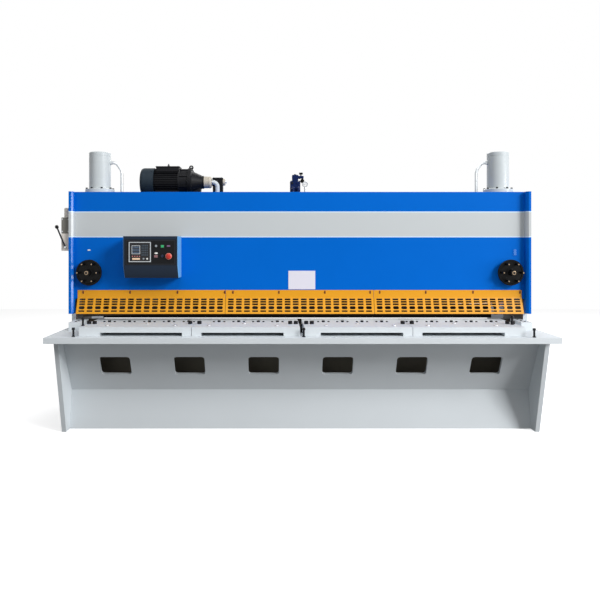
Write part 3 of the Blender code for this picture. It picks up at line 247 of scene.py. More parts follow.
def striped(front, legs=None):
    """The front's paint scheme: a band with its borders on faces before front, and pale below legs; on the
    plates also a dark brown throat, painted shade behind the panel and a painted highlight on the left
    chamfer.
    """
    colours = bpy.context.scene.shear_colours
    sizes = bpy.context.scene.shear_sizes
    middle = (sizes.stripe_low + sizes.stripe_high) / 2
    half = (sizes.stripe_high - sizes.stripe_low) / 2
    panel_low, panel_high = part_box("front_panel")

    def paint(tree, place, base):
        x, y, z = add(tree, "SeparateXYZ", (place,)).outputs
        before = add(tree, "Math", (y, front), operation="LESS_THAN")
        if legs:
            # The plates' inner sides carry the band too, as far back as the panel
            across = add(tree, "Math", (x,), operation="ABSOLUTE")
            inner = add(tree, "Math", (across, panel_high.x + 0.002), operation="LESS_THAN")
            strip = add(tree, "Math", (y, panel_low.y), operation="LESS_THAN")
            both = add(tree, "Math", (inner, strip), operation="MULTIPLY")
            before = add(tree, "Math", (before, both), operation="MAXIMUM")
        for reach, colour in ((half, colours.border), (half - sizes.border_width, colours.stripe)):
            band = add(tree, "Math", (z, middle, reach), operation="COMPARE")
            share = add(tree, "Math", (band, before), operation="MULTIPLY")
            base = add(tree, "Mix", {0: share, 6: base, 7: tuple(colour)}, data_type="RGBA")
        if not legs:
            return base
        low = add(tree, "Math", (z, legs), operation="LESS_THAN")
        base = add(tree, "Mix", {0: low, 6: base, 7: tuple(colours.white)}, data_type="RGBA")
        # The throat's inner faces are painted dark brown. Behind the panel the plates' inner faces are
        # painted near-black: painted shade, for the shade seen there through the guard's slots
        for zone, code in (((-0.10, 0.42, legs - 0.120, legs + 0.190), "141313"),
                           ((-0.83, -0.03, legs - 0.120, legs + 0.004), "4A3025")):
            brown_and_painted_shade = add(tree, "Math", (inner, within(tree, y, z, *zone)), operation="MULTIPLY")
            base = add(tree, "Mix", {0: brown_and_painted_shade, 6: base, 7: linear(code)}, data_type="RGBA")
        # Only the left plate's planed chamfer, which looks between X and Y, has a clear coat: a painted
        # highlight, so that the key light shows as a bright line there and not on the right
        normal = add(tree, "SeparateXYZ", (add(tree, "NewGeometry").outputs["True Normal"],)).outputs
        slant = add(tree, "Math", (normal["X"], normal["Y"]), operation="MULTIPLY")
        size = add(tree, "Math", (slant,), operation="ABSOLUTE")
        planed = add(tree, "Math", (size, 0.5, 0.2), operation="COMPARE")
        left = add(tree, "Math", (x, 0.0), operation="LESS_THAN")
        gloss = add(tree, "Math", (planed, left), operation="MULTIPLY")
        feed(tree, tree.nodes["Principled BSDF"], {"Coat Weight": gloss, "Coat Roughness": 0.16})
        return base

    return paint


def box_colours(tree, place, base):
    """Pale blue sides, which also serve as a painted highlight for the light on the right side, slate door
    and chin, and a black control face with a thin line inside its edge.
    """
    low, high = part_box("control_box")
    x, _, z = add(tree, "SeparateXYZ", (place,)).outputs
    left, right, bottom, top = low.x + 0.018, high.x - 0.016, low.z + 0.115, high.z - 0.029
    for inset, code in ((0.0, "08090C"), (0.009, "3C4048"), (0.011, "08090C")):
        face = within(tree, x, z, left + inset, right - inset, bottom + inset, top - inset)
        base = add(tree, "Mix", {0: face, 6: base, 7: linear(code)}, data_type="RGBA")
    door = within(tree, x, z, low.x + 0.003, high.x - 0.003, 0.0, 9.0)
    # Both sides are pale blue; on the right this is also a painted highlight, for the light that falls there
    return add(tree, "Mix", {0: door, 6: linear("68A2D2"), 7: base}, data_type="RGBA")


def painted_shade_front(tree, place, base):
    """Primer grey on the beam's front, as painted shade behind the guard."""
    _, y, _ = add(tree, "SeparateXYZ", (place,)).outputs
    before = add(tree, "Math", (y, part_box("upper_blade")[1].y + 0.002), operation="LESS_THAN")
    primer = tuple(bpy.context.scene.shear_colours.primer)
    return add(tree, "Mix", {0: before, 6: base, 7: primer}, data_type="RGBA")


def slot_edges_painted_shade(tree, place, base):
    """Painted shade in the slots: faces that look along the sheet and not out of it are painted near-black
    brown.
    """
    _, y, _ = add(tree, "SeparateXYZ", (add(tree, "NewGeometry").outputs["True Normal"],)).outputs
    out = add(tree, "Math", (y,), operation="ABSOLUTE")
    edge = add(tree, "Math", (out, 0.7), operation="LESS_THAN")
    return add(tree, "Mix", {0: edge, 6: base, 7: linear("1E1206")}, data_type="RGBA")


def screen_glass():
    """A display: dark glass over faint rows of segments, about 24 mm from row to row."""
    material, tree, shader, place = begin("display_glass", Roughness=0.12, IOR=1.5)
    scaled = add(tree, "Mapping", {"Vector": place, "Scale": (1 / 0.006, 1.0, 1 / 0.012)})
    cells = add(tree, "TexNoise", {"Vector": scaled, "Scale": 1.0, "Detail": 0.0})
    # At a scale of 1 the node's waves are TURN / 20 metres apart
    rows = add(tree, "TexWave", {"Vector": place, "Scale": TURN / 20 / 0.023687, "Distortion": 0.0},
               bands_direction="Z")
    lit = add(tree, "Math", (cells, rows.outputs["Fac"]), operation="MULTIPLY")
    base = add(tree, "Mix", {0: lit, 6: linear("0C1626"), 7: linear("4E6C8C")}, data_type="RGBA")
    feed(tree, shader, {"Base Color": base})
    return material


FINISHES = {}


def make_finishes(colours):
    """All the materials, once."""
    panel_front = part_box("front_panel")[0].y + 0.001
    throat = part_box("end_block_left")[1].z + 0.061
    FINISHES.update(
        # Two-pack polyurethane enamel, sprayed: saturated colour under a soft gloss
        panel_blue=enamel("panel_enamel", colours.blue, 0.40, colours=striped(panel_front), gloss=0.06),
        plate_blue=enamel("side_plate_enamel", colours.blue, 0.40, colours=striped(CHAMFER_BACK, throat),
                          gloss=0.06),
        blue=enamel("blue_enamel", colours.blue, 0.40, gloss=0.06),
        # The same paint in grey-white, with a satin gloss that hides dents
        white=enamel("white_enamel", colours.white, 0.46, cloud=0.03),
        # Gloss enamel on the turned barrels
        barrel=enamel("cylinder_enamel", colours.barrel, 0.28, cloud=0.03, coat=0.3),
        # Safety yellow over slotted sheet: slightly rougher, with painted shade on the edges of its slots
        yellow=enamel("guard_enamel", colours.yellow, 0.42, colours=slot_edges_painted_shade),
        # Dark enamel over cast iron and aluminium: grainy and half gloss
        motor=enamel("motor_enamel", colours.motor, 0.50, peel=0.6, gloss=0.15),
        cowl=enamel("cowl_enamel", colours.cowl, 0.48, gloss=0.15),
        pump=enamel("pump_enamel", colours.pump, 0.50, peel=0.6),
        navy=enamel("valve_enamel", colours.navy, 0.42, gloss=0.06),
        # Primer that was never painted over: flat and warm grey
        primer=enamel("inner_primer", colours.primer, 0.70, gloss=0.15),
        # The beam: primer grey towards the guard as painted shade, frame blue at the rear
        beam=enamel("beam_enamel", colours.blue, 0.42, colours=painted_shade_front, gloss=0.06),
        # Powder coat of the control box: fine even texture, low gloss
        box_paint=enamel("control_box_paint", colours.slate, 0.45, peel=0.3, colours=box_colours, gloss=0.15),
        # Aluminium sign plate, painted off-white
        plate=enamel("sign_plate_enamel", linear("D9D7E2"), 0.45, cloud=0.03),
        # Screws sealed with dark red lacquer
        red_lacquer=enamel("sealing_lacquer", linear("5E2410"), 0.45),
        # Grey cast body of the hand pump
        lube=enamel("hand_pump_enamel", linear("716F69"), 0.50, peel=0.5),
        # Ground tool steel: grinding lines along the blade, drawn 1.5 mm apart
        steel=metal("ground_tool_steel", "C4C6C8", 0.30, lines=(0.4, 0.0015, 0.0015)),
        # The blades, the gauge bar and the pistons: oily steel made darker as painted shade, for the shade
        # they stand in; the same lines run along them
        oiled=metal("oiled_tool_steel", "3B3733", 0.45, lines=(0.4, 0.0015, 0.0015)),
        # Turned steel of the handwheels' pins, browned by hands
        worn=metal("worn_steel", "8F7D68", 0.38),
        # Hard chrome on the rods: mirror smooth with faint rings
        chrome=metal("hard_chrome", "DADDE0", 0.12, lines=(0.2, 0.2, 0.003), uneven=0.03),
        # Zinc plate on pipes and fittings: pale, slightly clouded
        zinc=metal("zinc_plate", "BFC3C6", 0.34),
        # Black oxide on screws: oily near-black metal
        oxide=metal("black_oxide", "26272A", 0.42),
        # Phenolic resin of handwheels and knobs: hard, black, glossy
        phenolic=moulded("black_phenolic", linear("060607"), 0.35, ior=1.6, gloss=0.1),
        # ABS of keys and frames
        black=moulded("black_abs", linear("17191C"), 0.40),
        grey=moulded("grey_abs", linear("9BA3AA"), 0.42),
        red=moulded("red_abs", colours.stop, 0.32),
        # Polyethylene reservoir: milky and waxy
        milky=moulded("milky_polyethylene", linear("E4DED6"), 0.45, ior=1.51),
        # Liquid crystal display behind glass: dark blue, with paler rows of segments
        screen=screen_glass())
    # Small moulded parts of the controls, the gauge and the scale: even and half gloss
    for name, code, rough in (
            ("key", "35424E", 0.45), ("rim", "C4C9CE", 0.45), ("face", "06070A", 0.40),
            ("navy_plastic", "141B33", 0.35), ("lamp_white", "F2F2EE", 0.30), ("lamp_amber", "F3CFAE", 0.35),
            ("lamp_red", "E88C86", 0.30), ("lamp_green", "35A86B", 0.30), ("violet", "7D5A82", 0.40),
            # The pale salmon ring of the emergency stop is a painted highlight
            ("rose", "8C6468", 0.40), ("stop_rim_highlight", "EBA494", 0.40), ("pale_blue", "9FC4EE", 0.40),
            ("dial", "E9E9E4", 0.50)):
        FINISHES[name] = moulded(f"{name}_plastic", linear(code), rough)


# ---- Shapes -------------------------------------------------------------------------------------

def move(bm, way):
    """Moves a whole shape."""
    bmesh.ops.translate(bm, vec=way, verts=bm.verts)
    return bm


def stand(bm, place, axis):
    """Turns a shape that was made along Z to an axis, and moves it to its place."""
    turn = Vector(UP).rotation_difference(Vector(axis)).to_matrix().to_4x4()
    bmesh.ops.transform(bm, matrix=Matrix.Translation(place) @ turn, verts=bm.verts)
    return bm


def ease(bm, edges, width, segments=2):
    """Rounds edges by a width."""
    bmesh.ops.bevel(bm, geom=edges, offset=width, offset_type="OFFSET", affect="EDGES",
                    segments=segments, profile=0.5, material=-1, clamp_overlap=True)
    return bm


def block(low, high, width=0.0, segments=2):
    """A block between two corners, its edges eased."""
    bm = bmesh.new()
    bmesh.ops.create_cube(bm, size=1.0)
    low, high = Vector(low), Vector(high)
    bmesh.ops.scale(bm, vec=high - low, verts=bm.verts)
    move(bm, (low + high) / 2)
    return ease(bm, bm.edges[:], width, segments) if width else bm


def tower(x, y, half, bottom, top, width, segments=2):
    """A block that is square from above."""
    return block((x - half, y - half, bottom), (x + half, y + half, top), width, segments)


def revolve(bm, steps):
    """Spins a section all the way round Z and closes it."""
    bmesh.ops.spin(bm, geom=bm.verts[:] + bm.edges[:], cent=(0, 0, 0), axis=UP, angle=TURN, steps=steps,
                   use_merge=True)
    bmesh.ops.remove_doubles(bm, verts=bm.verts, dist=0.00001)
    bmesh.ops.recalc_face_normals(bm, faces=bm.faces)


def spun(profile, place=(0, 0, 0), axis=UP, steps=48, width=0.0, closed=True):
    """(radius, height) pairs spun about an axis, closed towards it, with their corners rounded first."""
    if closed:
        first, last = ([(0, height)] if radius else [] for radius, height in (profile[0], profile[-1]))
        profile = first + profile + last
    bm = bmesh.new()
    verts = [bm.verts.new((radius, 0, height)) for radius, height in profile]
    for pair in zip(verts, verts[1:]):
        bm.edges.new(pair)
    if width:
        inner = [vert for vert in verts[1:-1] if vert.co.x > 0.00001]
        bmesh.ops.bevel(bm, geom=inner, offset=width, offset_type="OFFSET", affect="VERTICES",
                        segments=3, profile=0.5, material=-1, clamp_overlap=True)
    revolve(bm, steps)
    return stand(bm, place, axis)


def ring(place, axis, major, minor, steps=32, sides=12):
    """A round ring of round section."""
    bm = bmesh.new()
    section = Matrix.Translation((major, 0, 0)) @ Matrix.Rotation(math.pi / 2, 4, "X")
    bmesh.ops.create_circle(bm, segments=sides, radius=minor, matrix=section)
    revolve(bm, steps)
    return stand(bm, place, axis)


def fanned(bm, count, axis_yz, start=0.0):
    """A shape made above the X axis, repeated evenly round it and moved to a parallel axis."""
    bmesh.ops.spin(bm, geom=bm.verts[:] + bm.edges[:] + bm.faces[:], cent=(0, 0, 0), axis=RIGHT,
                   angle=TURN * (count - 1) / count, steps=count - 1, use_duplicate=True)
    bmesh.ops.rotate(bm, cent=(0, 0, 0), matrix=Matrix.Rotation(start, 3, "X"), verts=bm.verts)
    return move(bm, (0, *axis_yz))


def tray(low, high, rim, depth):
    """A block whose front is sunk inside a rim."""
    bm = block(low, high)
    front = [face for face in bm.faces if face.normal.y < -0.9]
    bmesh.ops.inset_region(bm, faces=front, thickness=rim, depth=0.0, use_even_offset=True)
    sunk = bmesh.ops.extrude_discrete_faces(bm, faces=front)["faces"]
    bmesh.ops.translate(bm, vec=(0, depth, 0), verts=[vert for face in sunk for vert in face.verts])
    return bm


def copies(bm, places, axis=UP):
    """The same small shape, standing along an axis at every place."""
    mesh = bpy.data.meshes.new("copy")
    stand(bm, (0, 0, 0), axis).to_mesh(mesh)
    bm.free()
    whole = bmesh.new()
    for place in places:
        moved = mesh.copy()
        moved.transform(Matrix.Translation(place))
        whole.from_mesh(moved)
        bpy.data.meshes.remove(moved)
    bpy.data.meshes.remove(mesh)
    return whole


def sweep(corners, radius, bend, sides=20, steps=8):
    """A pipe along straight runs, spun round each bend; bend is the straight length that a bend takes."""
    corners = [Vector(corner) for corner in corners]
    bm = bmesh.new()
    heading = (corners[1] - corners[0]).normalized()
    turn = Vector(UP).rotation_difference(heading).to_matrix().to_4x4()
    bmesh.ops.create_circle(bm, segments=sides, radius=radius, matrix=Matrix.Translation(corners[0]) @ turn)
    first = bm.edges[:]
    edges = first
    for number in range(len(corners) - 1):
        start, end = corners[number], corners[number + 1]
        heading = (end - start).normalized()
        inner = 0 < number
        outer = number < len(corners) - 2
        length = (end - start).length - bend * (inner + outer)
        made = bmesh.ops.extrude_edge_only(bm, edges=edges)["geom"]
        verts = [item for item in made if isinstance(item, bmesh.types.BMVert)]
        edges = [item for item in made if isinstance(item, bmesh.types.BMEdge)
                 and all(vert in verts for vert in item.verts)]
        bmesh.ops.translate(bm, vec=heading * length, verts=verts)
        if outer:
            after = (corners[number + 2] - end).normalized()
            axis = heading.cross(after).normalized()
            angle = heading.angle(after)
            centre = end - heading * bend + axis.cross(heading) * bend / math.tan(angle / 2)
            made = bmesh.ops.spin(bm, geom=verts + edges, cent=centre, axis=axis, angle=angle, steps=steps,
                                  use_merge=False)["geom_last"]
            edges = [item for item in made if isinstance(item, bmesh.types.BMEdge)]
    for rim in (first, edges):
        bmesh.ops.contextual_create(bm, geom=[edge for edge in rim if edge.is_boundary])
    bmesh.ops.recalc_face_normals(bm, faces=bm.faces)
    return bm


def post(radius, height, sides):
    """A plain cylinder or prism, standing on Z = 0."""
    bm = bmesh.new()
    bmesh.ops.create_cone(bm, cap_ends=True, segments=sides, radius1=radius, radius2=radius, depth=height)
    return move(bm, (0, 0, height / 2))


def cap_screw(radius, height):
    """A screw with a round head and a hexagonal socket, standing on Z = 0."""
    bm = post(radius, height, 12)
    top = [face for face in bm.faces if face.normal.z > 0.9]
    bmesh.ops.inset_region(bm, faces=top, thickness=radius * 0.12, depth=0.0, use_even_offset=True)
    bmesh.ops.translate(bm, vec=(0, 0, radius * 0.1), verts=[v for face in top for v in face.verts])
    bmesh.ops.inset_region(bm, faces=top, thickness=radius * 0.38, depth=0.0, use_even_offset=True)
    sunk = bmesh.ops.extrude_discrete_faces(bm, faces=top)["faces"]
    bmesh.ops.translate(bm, vec=(0, 0, -height * 0.55), verts=[v for face in sunk for v in face.verts])
    return bm


def hex_head(radius, height):
    """A hexagon head with chamfered corners, standing on Z = 0."""
    bm = post(radius, height, 6)
    top = [edge for edge in bm.edges if all(vert.co.z > height * 0.9 for vert in edge.verts)]
    return ease(bm, top, radius * 0.15, 1)


def around(place, radius, count, axis=UP, start=0.0):
    """Places evenly spaced on a circle about an axis."""
    turn = Vector(UP).rotation_difference(Vector(axis))
    steps = [start + TURN * i / count for i in range(count)]
    return [Vector(place) + turn @ Vector((radius * math.cos(a), radius * math.sin(a), 0)) for a in steps]


def along(start, end, count):
    """Places evenly spaced from start to end."""
    return [Vector(start).lerp(Vector(end), i / (count - 1)) for i in range(count)]


def piece(name, parts, replaces=(), body="frame"):
    """Joins parts, each a shape or some shapes with their finish, into one piece that rides on a body."""
    parts = [(bm, finish) for shapes, finish in parts
             for bm in (shapes if isinstance(shapes, (list, tuple)) else [shapes])]
    mesh = bpy.data.meshes.new(name)
    whole = bmesh.new()
    finishes = list(dict.fromkeys(finish for _, finish in parts))
    for bm, finish in parts:
        for face in bm.faces:
            face.material_index = finishes.index(finish)
        step = bpy.data.meshes.new("step")
        bm.to_mesh(step)
        bm.free()
        whole.from_mesh(step)
        bpy.data.meshes.remove(step)
    whole.to_mesh(mesh)
    whole.free()
    for finish in finishes:
        mesh.materials.append(FINISHES[finish])
    mesh.shade_smooth()
    mesh.set_sharp_from_angle(angle=math.radians(38))
    item = bpy.data.objects.new(name, mesh)
    bpy.context.scene.collection.objects.link(item)
    normals = item.modifiers.new("Flat faces stay flat", "WEIGHTED_NORMAL")
    normals.keep_sharp = True
    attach(item, body)
    if replaces:
        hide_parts(*replaces)


def stand_in(node, parts, body="frame"):
    """A piece that is shown for a CAD node."""
    piece(f"{node}_shape", parts, [node], body)


def copy_of(node, width, chamfer=None):
    """A CAD node's shape, merged and with its sharp edges eased.

    A chamfer is its width, the x of a front edge, and the z above which the edge lies.
    """
    bm = bmesh.new()
    bm.from_mesh(NODES[node].data)
    bmesh.ops.remove_doubles(bm, verts=bm.verts, dist=0.00002)
    bmesh.ops.dissolve_limit(bm, angle_limit=math.radians(1), verts=bm.verts, edges=bm.edges)
    if chamfer:
        size, x, above = chamfer
        front = Vector((x, min(vert.co.y for vert in bm.verts if vert.co.z > above)))
        corner = [edge for edge in bm.edges if all(
            (vert.co.xy - front).length < 0.001 and vert.co.z > above for vert in edge.verts)]
        ease(bm, corner, size, 1)
    return ease(bm, [edge for edge in bm.edges if edge.calc_face_angle(0) > math.radians(30)], width)


def finished(node, finish, width, body="frame", extra=()):
    """A CAD node's eased shape with a finish, and what is added to it."""
    stand_in(node, [(copy_of(node, width), finish), *extra], body)


# ---- Operators ----------------------------------------------------------------------------------

class SHEAR_OT_plates(bpy.types.Operator):
    """Side plates, tank shelf, rear tie and cylinder seats"""

    bl_idname = "shear.plates"
    bl_label = "Frame plates"

    def execute(self, context):
        width = context.scene.shear_sizes.plate_ease
        for side, sign in SIDES:
            low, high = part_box(f"side_plate_{side}")
            outer, inner = (low.x, high.x) if sign < 0 else (high.x, low.x)
            # Screws that hold the beam's guides, in two rows through the plate
            bottom, top = GUIDE_SCREW_Z
            rows = [place for y in GUIDE_SCREW_Y for place in along((outer, y, bottom), (outer, y, top), 5)]
            screws = copies(cap_screw(0.013, 0.012), rows, (sign, 0, 0))
            plate = copy_of(f"side_plate_{side}", width, (PLATE_CHAMFER, inner, 1.0))
            stand_in(f"side_plate_{side}", [(plate, "plate_blue"), (screws, "oxide")])
            finished(f"cylinder_seat_{side}", "blue", width)
        for node in ("tank_shelf", "rear_tie"):
            finished(node, "blue", width)
        return {"FINISHED"}


class SHEAR_OT_panel(bpy.types.Operator):
    """Front panel with its bare sign plate and the index plates of the handwheels"""

    bl_idname = "shear.panel"
    bl_label = "Front panel"

    def execute(self, context):
        finished("front_panel", "panel_blue", context.scene.shear_sizes.plate_ease)
        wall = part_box("front_panel")[0].y
        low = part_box("guard_left")[1].z
        sign = block((-0.103, wall - 0.0021, low + 0.006), (0.143, wall - SKIN, low + 0.176), 0.0008)
        piece("sign_plate", [(sign, "plate")])
        pointer = block((-1.944, wall - 0.004, 1.590), (-1.918, wall - SKIN, 1.602), 0.001)
        piece("index_pointer_left", [(pointer, "zinc")])
        scale = block((1.957, wall - 0.003, 1.544), (1.993, wall - SKIN, 1.606), 0.001)
        marks = [block((1.963, wall - 0.0034, z - 0.001), (1.987, wall - 0.003, z + 0.001))
                 for z in (1.553, 1.562, 1.571, 1.580, 1.589, 1.598)]
        piece("index_scale_right", [(scale, "blue"), (marks, "pale_blue")])
        return {"FINISHED"}


class SHEAR_OT_table(bpy.types.Operator):
    """Ledge, raised plates and end blocks, with screws, transfer balls and clamping studs"""

    bl_idname = "shear.table"
    bl_label = "Work table"

    def execute(self, context):
        sizes = context.scene.shear_sizes
        width = sizes.plate_ease
        for node in ("work_table", *(f"table_plate_{number}" for number in range(1, 5))):
            finished(node, "white", width)
        for side, _ in SIDES:
            low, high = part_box(f"end_block_{side}")
            places = [((low.x + high.x) / 2, y, high.z)
                      for y in (low.y + 0.05, (low.y + high.y) / 2, high.y - 0.05)]
            screws = copies(cap_screw(sizes.table_screw, 0.003), places)
            finished(f"end_block_{side}", "white", width, extra=[(screws, "oxide")])
        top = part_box("table_plate_1")[1].z
        # Each fixing screw stands between two set screws, as the photograph shows them
        fixing = [sign * x for x in FIXING_X for sign in (-1, 1)]
        screws = copies(cap_screw(sizes.table_screw * 1.4, 0.012), [(x, FIXING_Y, top) for x in fixing])
        setting = copies(cap_screw(sizes.table_screw, 0.007),
                         [(x + side * SETTING_ASIDE, FIXING_Y, top) for x in fixing for side in (-1, 1)])
        heavy = copies(cap_screw(sizes.table_screw * 1.9, 0.024),
                       [(sign * x, HEAVY_Y, top) for x in HEAVY_X for sign in (-1, 1)])
        piece("table_screws", [((screws, setting, heavy), "oxide")])
        cup = [(0.012, 0.0022), (0.013, 0.0035), (0.020, 0.0025), (0.021, 0)]
        ball = [(0, 0.008), (0.004, 0.0074), (0.0075, 0.0055), (0.010, 0.002), (0.010, 0)]
        places = [(sign * x, y, top) for x, y in BALL_XY for sign in (-1, 1)]
        piece("transfer_balls", [(copies(spun(profile, steps=24), places), finish)
                                 for profile, finish in ((cup, "zinc"), (ball, "chrome"))])
        stud = [(0.012, 0.076), (0.014, 0.058), (0.0085, 0.056), (0.0085, 0.008), (0.014, 0.008), (0.014, 0)]
        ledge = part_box("work_table")[1].z
        places = [(*xy, ledge) for xy in STUD_XY] + [(*xy, top) for xy in TABLE_STUD_XY]
        piece("clamping_studs", [(copies(spun(stud, steps=20, width=0.001), places), "oxide")])
        return {"FINISHED"}


class SHEAR_OT_bed(bpy.types.Operator):
    """Apron with its windows, and the upright plate of the bed"""

    bl_idname = "shear.bed"
    bl_label = "Bed"

    def execute(self, context):
        for node, finish in (("apron_upper", "white"), ("apron_lower", "white"), ("bed_plate", "primer")):
            finished(node, finish, context.scene.shear_sizes.plate_ease)
        return {"FINISHED"}


class SHEAR_OT_blades(bpy.types.Operator):
    """Blades, beam, guides and back gauge"""

    bl_idname = "shear.blades"
    bl_label = "Blades and beam"

    def execute(self, context):
        width = context.scene.shear_sizes.plate_ease
        # The blades' dark steel is partly painted shade
        finished("lower_blade", "oiled", width / 2)
        finished("upper_blade", "oiled", width / 2, "blade_carriage")
        low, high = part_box("upper_blade")
        # Nuts of the blade's screws, on the back of the beam and between its ribs
        places = [(x, high.y + BEAM_PLATE, low.z + (x - low.x) * math.tan(BLADE_RAKE) + 0.062)
                  for x in (-1.95 + 0.195 * i + 0.0975 for i in range(20))]
        nuts = copies(hex_head(0.014, 0.012), places, BACK)
        finished("blade_beam", "beam", width, "blade_carriage", [(nuts, "oxide")])
        for side, _ in SIDES:
            finished(f"guide_{side}", "steel", width)
        self.back_gauge(width)
        return {"FINISHED"}

    def back_gauge(self, width):
        """The stop bar, its arms from the beam and the hangers between them."""
        low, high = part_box("back_gauge")
        front, back, top = 0.4793, 0.5043, low.z + 0.140      # of the bar
        # The bar's dark steel is partly painted shade
        parts = [(block((low.x, front, low.z), (high.x, back, top), width), "oiled")]
        for x in (-1.1, 1.1):
            arm = block((x - 0.030, low.y, high.z - 0.080), (x + 0.030, high.y, high.z), width)
            hanger = block((x - 0.040, 0.4856, top - 0.010), (x + 0.040, 0.5543, high.z - 0.070), width)
            spots = [(x + dx, back, top - 0.045) for dx in (-0.024, 0.024)]
            screws = copies(cap_screw(0.009, 0.009), spots, BACK)
            bolts = copies(hex_head(0.012, 0.009), [(x, y, high.z) for y in (0.50, 0.54)])
            end = spun([(0.018, 0.012), (0.020, 0.010), (0.020, 0)], (x, high.y, high.z - 0.040), BACK,
                       24, 0.001)
            parts += [((arm, hanger), "blue"), ((screws, bolts), "oxide"), (end, "black")]
        stand_in("back_gauge", parts, "blade_carriage")


class SHEAR_OT_holddowns(bpy.types.Operator):
    """Rail with its row of hold-down cylinders"""

    bl_idname = "shear.holddowns"
    bl_label = "Hold-downs"

    def execute(self, context):
        low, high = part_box("holddown_bank")
        rail = high.z - 0.040
        foot = low.z + 0.080
        places = along((-1.82, -0.046, 0), (1.82, -0.046, 0), 14)
        body = spun([(0.032, rail + 0.005), (0.032, foot), (0.0245, foot - 0.004), (0.0245, foot - 0.012)],
                    steps=32, width=0.001)
        piston = spun([(0.017, foot), (0.017, low.z + 0.014)], steps=24)
        pad = spun([(0.020, low.z + 0.018), (0.020, low.z)], steps=24, width=0.001)
        tops = [(x, (low.y + high.y) / 2, high.z) for x, _, _ in along((-1.68, 0, 0), (1.68, 0, 0), 13)]
        # The rail and the cylinder bodies are near-black, and the pistons dark steel, as painted shade behind
        # the guard
        stand_in("holddown_bank", [
            ((block((low.x, low.y, rail), high, 0.002), copies(body, places)), "motor"),
            (copies(piston, places), "oiled"),
            ((copies(pad, places), copies(hex_head(0.010, 0.008), tops)), "oxide")])
        return {"FINISHED"}


class SHEAR_OT_guard(bpy.types.Operator):
    """Slotted finger guard in three sections, with its screws in upright slots"""

    bl_idname = "shear.guard"
    bl_label = "Finger guard"

    def execute(self, context):
        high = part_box("guard_left")[1]
        fold = Vector((0, high.y, high.z - GUARD_BAND))
        for side in ("left", "middle", "right"):
            shape = copy_of(f"guard_{side}", 0.0006)
            self.open_slots(shape, fold)
            stand_in(f"guard_{side}", [(shape, "yellow")])
        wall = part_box("front_panel")[0].y - 0.0043
        middle = high.z - 0.020
        slots = [block((x - 0.0060, wall - 0.0006, middle - 0.014),
                       (x + 0.0060, wall - 0.0001, middle + 0.014)) for x in GUARD_SCREW_X]
        screws = copies(cap_screw(0.0065, 0.005), [(x, wall - 0.0005, middle) for x in GUARD_SCREW_X], FRONT)
        piece("guard_screws", [((*slots, screws), "red_lacquer")])
        return {"FINISHED"}

    def open_slots(self, bm, fold):
        """Moves the slots' ends along the sheet: each row a little lower, and the thin ones taller."""
        down = Vector((0, -math.sin(GUARD_SLOPE), -math.cos(GUARD_SLOPE)))
        for vert in bm.verts:
            reach = (vert.co - fold).dot(down)
            for middle, half, more in SLOT_ROWS:
                if abs(reach - middle) < half + 0.003:
                    vert.co += down * (SLOT_DROP + (more if reach > middle else -more))


